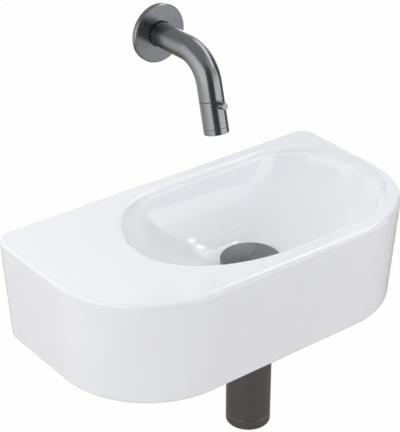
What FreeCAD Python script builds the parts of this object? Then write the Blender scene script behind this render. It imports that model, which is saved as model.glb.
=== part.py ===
"""Wall-hung ceramic hand basin with its tap, waste and bottle trap.

Frame: the wall is the plane y = 0, +Y points into it, +X runs along it to the right and +Z points up.
The origin lies on the wall, midway between the two studs that carry the basin. Sizes are in millimetres.
"""

import FreeCAD
import Part
import Sketcher
import math
import os

from FreeCAD import Placement, Rotation, Vector

SIZES = {
    # Basin seen from outside
    "basin_width": 400.0,
    "basin_depth": 215.0,
    "basin_height": 114.0,
    "side_draw_in": 7.5,
    "front_corner_radius": 108.0,
    "back_corner_radius": 18.0,
    "rim_edge_radius": 5.0,
    "foot_edge_radius": 5.5,
    # Ceramic walls
    "skirt_wall": 10.0,
    "back_wall": 12.0,
    "deck_thickness": 12.0,
    "bowl_wall": 9.5,
    # Bowl, measured from the outside of the basin at the rim
    "bowl_left_rim": 94.5,
    "bowl_right_rim": 14.0,
    "bowl_back_rim": 21.0,
    "bowl_front_rim": 21.5,
    "bowl_depth": 75.0,
    "bowl_fullness": 1.5,
    "bowl_edge_radius": 5.0,
    # Wall fixing
    "rim_above_studs": 88.0,
    "stud_spacing": 200.0,
    "stud_dia": 8.0,
    "stud_screw_dia": 7.6,
    "stud_hole_dia": 14.0,
    "stud_in_wall": 55.0,
    "stud_thread_left": 5.0,
    "sleeve_flange_dia": 26.0,
    "sleeve_flange": 3.0,
    "stud_washer_dia": 22.0,
    "stud_washer_thick": 1.6,
    "stud_nut_flats": 13.0,
    "stud_nut_height": 6.5,
    # Waste
    "drain_right": 36.5,
    "drain_behind_middle": 1.25,
    "drain_hole_dia": 46.0,
    "flange_dia": 63.0,
    "flange_thick": 3.0,
    "gasket_thick": 1.0,
    "tail_dia": 41.9,
    "tail_wall": 3.0,
    "tail_length": 62.0,
    "waste_seal_dia": 62.0,
    "waste_seal_thick": 5.0,
    "waste_washer_thick": 1.5,
    "waste_nut_flats": 54.0,
    "waste_nut_height": 9.0,
    "hub_drop": 37.0,
    "hub_dia": 15.0,
    "hub_height": 8.0,
    "bar_width": 6.0,
    "bar_height": 6.0,
    # Push-to-close waste cap
    "cap_dia": 63.0,
    "cap_side": 7.0,
    "cap_crown": 2.6,
    "cap_shell": 3.0,
    "cap_lift": 7.0,
    "cap_travel": 6.3,
    "cap_seal_section": 2.4,
    "click_bore_dia": 9.6,
    "click_wall": 1.9,
    "plunger_length": 12.0,
    "plunger_stud_dia": 6.0,
    "spring_wire": 0.9,
    "spring_turns": 5.0,
    # Bottle trap
    "trap_dia": 48.0,
    "trap_wall": 2.0,
    "trap_below_tail": 27.0,
    "trap_length": 86.0,
    "cleanout_height": 12.0,
    "cleanout_spigot": 9.0,
    "cleanout_recess_dia": 18.0,
    "cleanout_seal_up": 2.0,
    "trap_pipe_dia": 32.0,
    "trap_pipe_wall": 1.5,
    "dip_clearance": 22.0,
    "trap_nut_wall": 3.2,
    "trap_nut_height": 20.0,
    "head_nut_height": 15.0,
    "outlet_drop": 20.0,
    "outlet_reach": 42.0,
    "outlet_nut_height": 16.0,
    "outlet_in_wall": 45.0,
    "outlet_rosette_dia": 70.0,
    "outlet_rosette_thick": 9.0,
    # Tap
    "tap_above_rim": 160.0,
    "tube_dia": 25.0,
    "tube_wall": 2.0,
    "spout_reach": 49.0,
    "spout_bend_radius": 35.0,
    "spout_bend_angle": 76.0,
    "spout_drop": 15.5,
    "tap_rosette_dia": 60.0,
    "tap_rosette_thick": 5.0,
    "tap_rosette_plate": 2.2,
    "tap_rosette_bevel": 1.1,
    "nipple_thread_dia": 20.95,
    "nipple_thread": 15.0,
    "nipple_bore": 12.0,
    "nipple_spigot": 28.0,
    "o_ring": 1.8,
    "first_ring_back": 12.0,
    "second_ring_back": 5.0,
    "set_screw_dia": 4.0,
    # Turning end of the spout with its ceramic valve
    "sleeve_length": 27.0,
    "aerator_ring_height": 6.0,
    "aerator_neck": 9.0,
    "lever_from_seam": 4.8,
    "lever_dia": 7.0,
    "lever_proud": 7.5,
    "carrier_length": 14.9,
    "carrier_wall": 2.1,
    "disc_thick": 2.8,
    "disc_window": 78.0,
    "spindle_wall": 3.4,
    "spindle_drive": 13.0,
    # Clearances
    "fit": 0.1,
    "seam": 0.3,
    "play": 0.15,
}

# Proportions of the bowl's outline, as shares of its measure from back to front
BACK_CORNER = 0.44
FRONT_CORNER = 0.545
TIP_FORWARD = 0.033
# The bowl's left end: its tight rounding as a share of the way to the front, and how far round that goes
TIP_ROUND = 0.73
TIP_TURN = 55


class Size:
    """A number together with the sheet expression that gives it."""

    def __init__(self, value, text):
        self.value = float(value)
        self.text = text

    @staticmethod
    def of(other):
        if isinstance(other, Size):
            return other
        return Size(other, repr(float(other)))

    def __add__(self, other):
        other = Size.of(other)
        return Size(self.value + other.value, f"({self.text} + {other.text})")

    def __sub__(self, other):
        other = Size.of(other)
        return Size(self.value - other.value, f"({self.text} - {other.text})")

    def __mul__(self, other):
        other = Size.of(other)
        return Size(self.value * other.value, f"({self.text} * {other.text})")

    def __truediv__(self, other):
        other = Size.of(other)
        return Size(self.value / other.value, f"({self.text} / {other.text})")

    def __pow__(self, other):
        other = Size.of(other)
        return Size(self.value ** other.value, f"({self.text} ^ {other.text})")

    def __radd__(self, other):
        return Size.of(other) + self

    def __rsub__(self, other):
        return Size.of(other) - self

    def __rmul__(self, other):
        return Size.of(other) * self

    def __rtruediv__(self, other):
        return Size.of(other) / self

    def __neg__(self):
        return Size(-self.value, f"(0 - {self.text})")


def sine(angle):
    angle = Size.of(angle)
    return Size(math.sin(math.radians(angle.value)), f"sin({angle.text} * 1 deg)")


def cosine(angle):
    angle = Size.of(angle)
    return Size(math.cos(math.radians(angle.value)), f"cos({angle.text} * 1 deg)")


class Sheet:
    """The spreadsheet of driving sizes: each one is reached by its alias."""

    def __init__(self, doc, sizes):
        self.cells = doc.addObject("Spreadsheet::Sheet", "Sizes")
        for row, (name, value) in enumerate(sizes.items(), start=1):
            self.cells.set(f"A{row}", name)
            self.cells.set(f"B{row}", str(value))
            self.cells.setAlias(f"B{row}", name)
        doc.recompute()

    def __getattr__(self, name):
        return Size(self.cells.get(name), f"Sizes.{name}")


doc = FreeCAD.newDocument("hand_basin")
s = Sheet(doc, SIZES)
parts = []


def bind(obj, path, size):
    """Let a property follow the sheet."""
    obj.setExpression(path, Size.of(size).text)


def origin_plane(body, role):
    return next(item for item in body.Origin.OriginFeatures if item.Role == role)


def new_body(label, at=None, tilt=None):
    """An empty body at a place; tilt turns its own Z axis about X."""
    body = doc.addObject("PartDesign::Body", label)
    body.Label = label
    if tilt is not None:
        body.Placement = Placement(Vector(0, 0, 0), Rotation(Vector(1, 0, 0), Size.of(tilt).value))
        bind(body, "Placement.Rotation.Angle", tilt)
    for axis, size in zip("xyz", at or ()):
        bind(body, f"Placement.Base.{axis}", size)
    return body


def sketch_on(body, role, offset=None):
    """A sketch on one of the body's planes, moved along the normal."""
    sketch = body.newObject("Sketcher::SketchObject", f"{body.Name}_sketch")
    sketch.AttachmentSupport = [(origin_plane(body, role), "")]
    sketch.MapMode = "FlatFace"
    if offset is not None:
        bind(sketch, "AttachmentOffset.Base.z", offset)
    return sketch


def pin_point(sketch, edge, end, point):
    """Tie one end of an edge to a place given by two sizes."""
    for kind, axis, size in (("DistanceX", -2, point[0]), ("DistanceY", -1, point[1])):
        size = Size.of(size)
        if abs(size.value) < 1e-9:
            sketch.addConstraint(Sketcher.Constraint("PointOnObject", edge, end, axis))
        else:
            index = sketch.addConstraint(Sketcher.Constraint(kind, -1, 1, edge, end, size.value))
            sketch.setExpression(f"Constraints[{index}]", size.text)


def draw(sketch, points, arcs=None, closed=True):
    """Draw an outline through points of two sizes.

    arcs maps the number of a point to the radius of the arc that leaves it: positive turns left.
    """
    arcs = arcs or {}
    count = len(points)
    total = count if closed else count - 1
    spots = [Vector(Size.of(u).value, Size.of(v).value, 0) for u, v in points]
    first = sketch.GeometryCount
    ends = []
    for i in range(total):
        start = spots[i]
        stop = spots[(i + 1) % count]
        if i not in arcs:
            sketch.addGeometry(Part.LineSegment(start, stop), False)
            ends.append((1, 2))
            continue
        radius = Size.of(arcs[i]).value
        chord = stop - start
        left = Vector(-chord.y, chord.x, 0)
        left.normalize()
        rise = math.sqrt(max(radius * radius - chord.Length ** 2 / 4, 0.0))
        centre = (start + stop) / 2 + left * math.copysign(rise, radius)
        one, two = (start, stop) if radius > 0 else (stop, start)
        low = math.atan2(one.y - centre.y, one.x - centre.x)
        high = math.atan2(two.y - centre.y, two.x - centre.x)
        if high <= low:
            high += 2 * math.pi
        circle = Part.Circle(centre, Vector(0, 0, 1), abs(radius))
        sketch.addGeometry(Part.ArcOfCircle(circle, low, high), False)
        ends.append((1, 2) if radius > 0 else (2, 1))
    for i in range(total):
        pin_point(sketch, first + i, ends[i][0], points[i])
        if closed or i + 1 < total:
            after = (i + 1) % total
            sketch.addConstraint(
                Sketcher.Constraint("Coincident", first + i, ends[i][1], first + after, ends[after][0])
            )
        else:
            pin_point(sketch, first + i, ends[i][1], points[count - 1])
        if i in arcs:
            radius = Size.of(arcs[i])
            index = sketch.addConstraint(Sketcher.Constraint("Radius", first + i, abs(radius.value)))
            sketch.setExpression(f"Constraints[{index}]", radius.text if radius.value > 0 else (-radius).text)
    return sketch


def draw_circle(sketch, radius, centre=(0, 0)):
    radius = Size.of(radius)
    spot = Vector(Size.of(centre[0]).value, Size.of(centre[1]).value, 0)
    number = sketch.addGeometry(Part.Circle(spot, Vector(0, 0, 1), radius.value), False)
    if abs(spot.x) < 1e-9 and abs(spot.y) < 1e-9:
        sketch.addConstraint(Sketcher.Constraint("Coincident", number, 3, -1, 1))
    else:
        pin_point(sketch, number, 3, centre)
    index = sketch.addConstraint(Sketcher.Constraint("Radius", number, radius.value))
    sketch.setExpression(f"Constraints[{index}]", radius.text)
    return sketch


def feature(body, kind, sketch=None):
    item = body.newObject(f"PartDesign::{kind}", f"{body.Name}_{kind.lower()}")
    if sketch is not None:
        item.Profile = sketch
        sketch.Visibility = False
    return item


def pad(body, sketch, length, reverse=False):
    item = feature(body, "Pad", sketch)
    bind(item, "Length", length)
    item.Reversed = reverse
    doc.recompute()
    return item


def pocket(body, sketch, length, reverse=False):
    item = feature(body, "Pocket", sketch)
    bind(item, "Length", length)
    item.Reversed = reverse
    doc.recompute()
    return item


def spin(body, sketch, kind="Revolution", angle=None):
    """Turn a sketch about its own vertical axis, all round or by an angle about its plane."""
    item = feature(body, kind, sketch)
    item.ReferenceAxis = (sketch, ["V_Axis"])
    if angle is None:
        item.Angle = 360
    else:
        item.Midplane = True
        bind(item, "Angle", angle)
    doc.recompute()
    return item


def loft(body, sketches, kind, ruled=False):
    item = feature(body, kind, sketches[0])
    item.Sections = sketches[1:]
    item.Ruled = ruled
    for sketch in sketches:
        sketch.Visibility = False
    doc.recompute()
    return item


def around(body, item, sketch, count):
    """Repeat a feature evenly about the normal of a sketch."""
    pattern = body.newObject("PartDesign::PolarPattern", f"{body.Name}_pattern")
    pattern.Originals = [item]
    pattern.Axis = (sketch, ["N_Axis"])
    pattern.Angle = 360
    pattern.Occurrences = count
    body.Tip = pattern
    doc.recompute()
    return pattern


def round_edges(body, base, radius, chosen):
    """Round the edges of a feature for which chosen(edge) holds."""
    item = feature(body, "Fillet")
    names = [f"Edge{i}" for i, edge in enumerate(base.Shape.Edges, start=1) if chosen(edge)]
    item.Base = (base, names)
    bind(item, "Radius", radius)
    doc.recompute()
    return item


def keep(obj, label=None):
    """List an object as one of the basin's sub-parts."""
    if label is not None:
        obj.Label = label
    parts.append(obj)
    return obj


def turned(label, points, at=None, tilt=None, arcs=None):
    """A sub-part turned from a profile of radius and height."""
    body = new_body(label, at, tilt)
    spin(body, draw(sketch_on(body, "XZ_Plane"), points, arcs))
    return keep(body)


def ring(label, inner, outer, low, high, at=None, tilt=None):
    """A plain ring between two heights."""
    return turned(label, [(inner, low), (outer, low), (outer, high), (inner, high)], at, tilt)


def torus(label, radius, section, height, at, tilt=None):
    """An O-ring: radius to the middle of its section, at a height along the tilted axis."""
    item = doc.addObject("Part::Torus", label)
    bind(item, "Radius1", radius)
    bind(item, "Radius2", section)
    lean = Size.of(0 if tilt is None else tilt)
    item.Placement = Placement(Vector(0, 0, 0), Rotation(Vector(1, 0, 0), lean.value))
    if tilt is not None:
        bind(item, "Placement.Rotation.Angle", lean)
    bind(item, "Placement.Base.x", at[0])
    bind(item, "Placement.Base.y", at[1] - sine(lean) * height)
    bind(item, "Placement.Base.z", at[2] + cosine(lean) * height)
    item.Label = label
    return item


def pair(label, body):
    """Two of the same piece, one each side of the middle."""
    body.Label = f"{label}_right"
    parts.remove(body)
    twin = doc.addObject("Part::Mirroring", f"{label}_left")
    twin.Source = body
    twin.Normal = Vector(1, 0, 0)
    both = doc.addObject("Part::Compound", label)
    both.Links = [body, twin]
    return keep(both, label)


def hexagon(sketch, flats):
    """A hexagon of a given width across its flats."""
    corner = flats / math.sqrt(3.0)
    points = [(corner * math.cos(math.radians(a)), corner * math.sin(math.radians(a))) for a in range(0, 360, 60)]
    points = [(u if abs(u.value) > 1e-6 else 0, v if abs(v.value) > 1e-6 else 0) for u, v in points]
    return draw(sketch, points)


def hex_nut(label, flats, bore, low, height, at, tilt=None):
    body = new_body(label, at, tilt)
    block = sketch_on(body, "XY_Plane", low)
    hexagon(block, flats)
    draw_circle(block, bore)
    pad(body, block, height)
    return keep(body)


# Heights that several pieces share
rim_z = s.rim_above_studs
foot_z = rim_z - s.basin_height
floor_z = rim_z - s.bowl_depth
below_z = floor_z - s.bowl_wall
drain_out = (s.basin_depth + s.bowl_back_rim - s.bowl_front_rim) / 2 - s.drain_behind_middle
drain = (s.drain_right, -drain_out, Size.of(0))
tail_r = s.tail_dia / 2
tail_bore = tail_r - s.tail_wall
tail_z = floor_z - s.tail_length
recess_depth = s.flange_thick + s.gasket_thick
hub_z = floor_z - s.hub_drop
hub_top = hub_z + s.hub_height
cap_z = floor_z + s.cap_lift
trap_r = s.trap_dia / 2
trap_top = tail_z - s.trap_below_tail
trap_foot = trap_top - s.trap_length
pipe_r = s.trap_pipe_dia / 2
outlet_z = trap_top - s.outlet_drop
tube_r = s.tube_dia / 2
tube_bore = tube_r - s.tube_wall
tap_z = rim_z + s.tap_above_rim
tap = (Size.of(0), Size.of(0), tap_z)
bend_y = s.spout_reach + s.spout_bend_radius * sine(s.spout_bend_angle)
bend_z = s.spout_bend_radius * (1 - cosine(s.spout_bend_angle))
seam_point = (
    Size.of(0),
    -(bend_y + s.spout_drop * cosine(s.spout_bend_angle)),
    tap_z - bend_z - s.spout_drop * sine(s.spout_bend_angle),
)
spout_tilt = s.spout_bend_angle + 90


def make_basin():
    """The glazed ceramic: lofted skirt, hollow underneath, with a free-form bowl hung in it."""
    body = new_body("basin")
    half = s.basin_width / 2

    def skirt(height, inset, back, back_radius):
        draw_in = s.side_draw_in * (rim_z - height) / s.basin_height + inset
        side = half - draw_in
        front = s.basin_depth - draw_in
        corner = s.front_corner_radius - draw_in
        points = [
            (-side, -(back + back_radius)),
            (-side, corner - front),
            (corner - side, -front),
            (side - corner, -front),
            (side, corner - front),
            (side, -(back + back_radius)),
            (side - back_radius, -back),
            (back_radius - side, -back),
        ]
        arcs = {1: corner, 3: corner, 5: back_radius, 7: back_radius}
        return draw(sketch_on(body, "XY_Plane", height), points, arcs)

    def bowl(start_z, depth, grow):
        length = (s.basin_width - s.bowl_left_rim - s.bowl_right_rim) / 2 + grow
        width = (s.basin_depth - s.bowl_back_rim - s.bowl_front_rim) / 2 + grow
        middle_x = (s.bowl_left_rim - s.bowl_right_rim) / 2
        middle_y = -(s.basin_depth + s.bowl_back_rim - s.bowl_front_rim) / 2
        seat = s.flange_dia / 2 + grow
        span = s.basin_depth - s.bowl_back_rim - s.bowl_front_rim
        turn = Size.of(TIP_TURN)
        sections = []
        for angle in (0, 15, 30, 45, 60, 75, 90):
            near = Size.of(math.cos(math.radians(angle)) if angle < 90 else 0.0)
            deep = Size.of(math.sin(math.radians(angle)))
            share = 1 - near ** (2 / s.bowl_fullness)
            height = start_z - depth * deep ** (2 / s.bowl_fullness)
            hx = length + (seat + 4 - length) * share
            hy = width + (seat + 3 - width) * share
            back_r = span * BACK_CORNER + grow
            front_r = span * FRONT_CORNER + grow
            back_r = back_r + (seat - back_r) * share
            front_r = front_r + (seat - front_r) * share
            x = middle_x + (s.drain_right - middle_x) * share
            y = middle_y - (drain_out + middle_y) * share
            tip = y - span * TIP_FORWARD * (1 - share)
            left = x - hx
            back_reach = y + hy - tip
            front_reach = tip - y + hy
            tight = front_reach * (TIP_ROUND + (1 - TIP_ROUND) * share)
            wide = (front_reach - tight * sine(turn)) / (1 - sine(turn))
            points = [
                (left, tip),
                (left + tight * (1 - cosine(turn)), tip - tight * sine(turn)),
                (left + tight + (wide - tight) * cosine(turn), y - hy),
                (x + hx - front_r, y - hy),
                (x + hx, y - hy + front_r),
                (x + hx, y + hy - back_r),
                (x + hx - back_r, y + hy),
                (left + back_reach, y + hy),
            ]
            arcs = {0: tight, 1: wide, 3: front_r, 5: back_r, 7: back_reach}
            sections.append(draw(sketch_on(body, "XY_Plane", height), points, arcs))
        return sections

    top = skirt(rim_z, Size.of(0), Size.of(0), s.back_corner_radius)
    foot = skirt(foot_z, Size.of(0), Size.of(0), s.back_corner_radius)
    block = loft(body, [top, foot], "AdditiveLoft", ruled=True)

    def level(edge, height):
        return all(abs(v.Point.z - height.value) < 1e-4 for v in edge.Vertexes)

    block = round_edges(body, block, s.rim_edge_radius, lambda edge: level(edge, rim_z))
    block = round_edges(body, block, s.foot_edge_radius, lambda edge: level(edge, foot_z))
    inner_corner = s.back_corner_radius - s.skirt_wall * 0.7
    roof_z = rim_z - s.deck_thickness
    roof = skirt(roof_z, s.skirt_wall, s.back_wall, inner_corner)
    mouth = skirt(foot_z - 1, s.skirt_wall, s.back_wall, inner_corner)
    loft(body, [roof, mouth], "SubtractiveLoft", ruled=True)
    shell_z = rim_z - s.deck_thickness / 2
    shell_depth = s.bowl_depth + s.bowl_wall - s.deck_thickness / 2
    loft(body, bowl(shell_z, shell_depth, s.bowl_wall), "AdditiveLoft")
    hollow = loft(body, bowl(rim_z, s.bowl_depth, Size.of(0)), "SubtractiveLoft")

    half_length = (s.basin_width - s.bowl_left_rim - s.bowl_right_rim).value / 2
    middle = (s.bowl_left_rim - s.bowl_right_rim).value / 2

    def bowl_rim(edge):
        box = edge.BoundBox
        inside = box.XMin > middle - half_length - 0.1 and box.XMax < middle + half_length + 0.1
        inside = inside and box.YMax < 0.1 - s.bowl_back_rim.value
        return level(edge, rim_z) and inside and box.YMin > s.bowl_front_rim.value - s.basin_depth.value - 0.1

    round_edges(body, hollow, s.bowl_edge_radius, bowl_rim)
    seat = draw_circle(sketch_on(body, "XY_Plane", floor_z + 1), s.flange_dia / 2 + 0.5, drain)
    pocket(body, seat, recess_depth + 1)
    hole = draw_circle(sketch_on(body, "XY_Plane", floor_z), s.drain_hole_dia / 2, drain)
    pocket(body, hole, s.bowl_wall + 5)
    studs = sketch_on(body, "XZ_Plane")
    for side in (-1, 1):
        draw_circle(studs, s.stud_hole_dia / 2, (s.stud_spacing * side / 2, 0))
    pocket(body, studs, s.back_wall + 1, reverse=True)
    keep(body)


def make_wall_fixing():
    """Hanger bolts, sleeves, washers and nuts that hold the basin on the wall."""
    at = (s.stud_spacing / 2, Size.of(0), Size.of(0))
    out = Size.of(90)
    radius = s.stud_dia / 2
    screw = s.stud_screw_dia / 2
    flange_out = s.back_wall + s.sleeve_flange
    washer_out = flange_out + s.stud_washer_thick
    nut_out = washer_out + s.stud_nut_height
    end = nut_out + s.stud_thread_left
    stud = turned(
        "stud",
        [
            (0, -s.stud_in_wall - 6),
            (screw, -s.stud_in_wall),
            (screw, 0),
            (radius, 0),
            (radius, end - 1),
            (radius - 1, end),
            (0, end),
        ],
        at,
        out,
    )
    pair("wall_studs", stud)
    bore = radius + s.fit
    shank = s.stud_hole_dia / 2 - s.fit
    sleeve = turned(
        "sleeve",
        [
            (bore, Size.of(1)),
            (shank, Size.of(1)),
            (shank, s.back_wall),
            (s.sleeve_flange_dia / 2, s.back_wall),
            (s.sleeve_flange_dia / 2, flange_out),
            (bore, flange_out),
        ],
        at,
        out,
    )
    pair("stud_sleeves", sleeve)
    washer = ring("washer", bore + s.fit, s.stud_washer_dia / 2, flange_out, washer_out, at, out)
    pair("stud_washers", washer)
    pair("stud_nuts", hex_nut("nut", s.stud_nut_flats, bore, washer_out, s.stud_nut_height, at, out))


def make_waste():
    """Waste with its seals, and the cap that is pressed to close and pressed again to open."""
    flange_r = s.flange_dia / 2
    under = floor_z - s.flange_thick
    body = new_body("waste_body", drain)
    profile = [
        (tail_bore, tail_z),
        (tail_r, tail_z),
        (tail_r, under),
        (flange_r, under),
        (flange_r, floor_z - 1),
        (flange_r - 1, floor_z),
        (tail_bore + 6, floor_z),
        (tail_bore, floor_z - 5),
    ]
    spin(body, draw(sketch_on(body, "XZ_Plane"), profile))
    bar = sketch_on(body, "XY_Plane", hub_z)
    reach = tail_bore + s.tail_wall / 2
    wide = s.bar_width / 2
    draw(bar, [(-reach, -wide), (reach, -wide), (reach, wide), (-reach, wide)])
    pad(body, bar, s.bar_height)
    pad(body, draw_circle(sketch_on(body, "XY_Plane", hub_z), s.hub_dia / 2), s.hub_height)
    thread = draw_circle(sketch_on(body, "XY_Plane", hub_z - 1), s.plunger_stud_dia / 2 + 1)
    pocket(body, thread, s.hub_height + 2, reverse=True)
    keep(body)
    ring("waste_gasket", tail_r + s.fit, flange_r - 0.5, under - s.gasket_thick, under, drain)
    seal_low = below_z - s.waste_seal_thick
    washer_low = seal_low - s.waste_washer_thick
    seal_r = s.waste_seal_dia / 2
    turned(
        "waste_seal",
        [(tail_r + s.fit, seal_low), (seal_r, seal_low), (seal_r - 3, below_z), (tail_r + s.fit, below_z)],
        drain,
    )
    ring("waste_washer", tail_r + s.fit, seal_r, washer_low, seal_low, drain)
    nut_low = washer_low - s.waste_nut_height
    hex_nut("waste_nut", s.waste_nut_flats, tail_r + s.fit, nut_low, s.waste_nut_height, drain)

    bore = s.click_bore_dia / 2
    stem = s.plunger_stud_dia / 2 + 1 - s.fit
    outer = bore + s.click_wall
    lip = floor_z - 6
    turned(
        "click_housing",
        [
            (0, hub_z),
            (stem, hub_z),
            (stem, hub_top),
            (outer, hub_top),
            (outer, lip - 0.6),
            (outer - 0.6, lip),
            (bore, lip),
            (bore, hub_top + 2),
            (0, hub_top + 2),
        ],
        drain,
    )
    cap_under = cap_z + s.cap_side - s.cap_shell
    collar_top = floor_z - 2
    collar_low = collar_top - s.plunger_length
    post = s.plunger_stud_dia / 2
    slide = bore - s.play
    turned(
        "click_plunger",
        [
            (0, collar_low),
            (slide, collar_low),
            (slide, collar_top),
            (post, collar_top),
            (post, cap_under),
            (0, cap_under),
        ],
        drain,
    )
    make_spring(hub_top + 2, collar_low, bore - 0.3)

    cap_r = s.cap_dia / 2
    groove = s.cap_seal_section / 2 + s.fit
    seat_r = cap_r - 3.5
    edge_z = cap_z + s.cap_side
    brow = cap_r - 0.8
    dome = (brow ** 2 + s.cap_crown ** 2) / (2 * s.cap_crown)
    boss_low = lip + s.cap_travel + s.seam
    turned(
        "waste_cap",
        [
            (0, cap_under + 0.3),
            (post + s.fit, cap_under + 0.3),
            (post + s.fit, boss_low),
            (post + 3, boss_low),
            (post + 3, cap_under),
            (seat_r - groove - 2, cap_under),
            (seat_r - groove - 2, cap_z),
            (seat_r - groove, cap_z),
            (seat_r - groove, cap_z + 2 * groove - 0.4),
            (seat_r + groove, cap_z + 2 * groove - 0.4),
            (seat_r + groove, cap_z),
            (cap_r - 0.8, cap_z),
            (cap_r, cap_z + 0.8),
            (cap_r, edge_z - 0.8),
            (brow, edge_z),
            (0, edge_z + s.cap_crown),
        ],
        drain,
        arcs={13: Size.of(0.8), 14: dome},
    )
    seal_z = cap_z + 2 * groove - 0.4 - s.fit - s.cap_seal_section / 2
    keep(torus("cap_seal", seat_r, s.cap_seal_section / 2, seal_z, drain))


def make_spring(low, high, outer):
    """The small coil under the plunger, swept along a helix with flat closed ends left out."""
    wire = s.spring_wire / 2
    helix = doc.addObject("Part::Helix", "click_coil")
    rise = high - low - 2 * wire - 0.1
    bind(helix, "Radius", outer - wire)
    bind(helix, "Height", rise)
    bind(helix, "Pitch", rise / s.spring_turns)
    section = doc.addObject("Part::Circle", "click_wire")
    bind(section, "Radius", wire)
    section.Placement = Placement(Vector(0, 0, 0), Rotation(Vector(1, 0, 0), 90))
    bind(section, "Placement.Base.x", outer - wire)
    coil = doc.addObject("Part::Sweep", "click_spring")
    coil.Sections = [section]
    coil.Spine = (helix, ["Edge1"])
    coil.Solid = True
    coil.Frenet = True
    bind(coil, "Placement.Base.x", drain[0])
    bind(coil, "Placement.Base.y", drain[1])
    bind(coil, "Placement.Base.z", low + wire + 0.05)
    doc.recompute()
    keep(coil, "click_spring")


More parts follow.
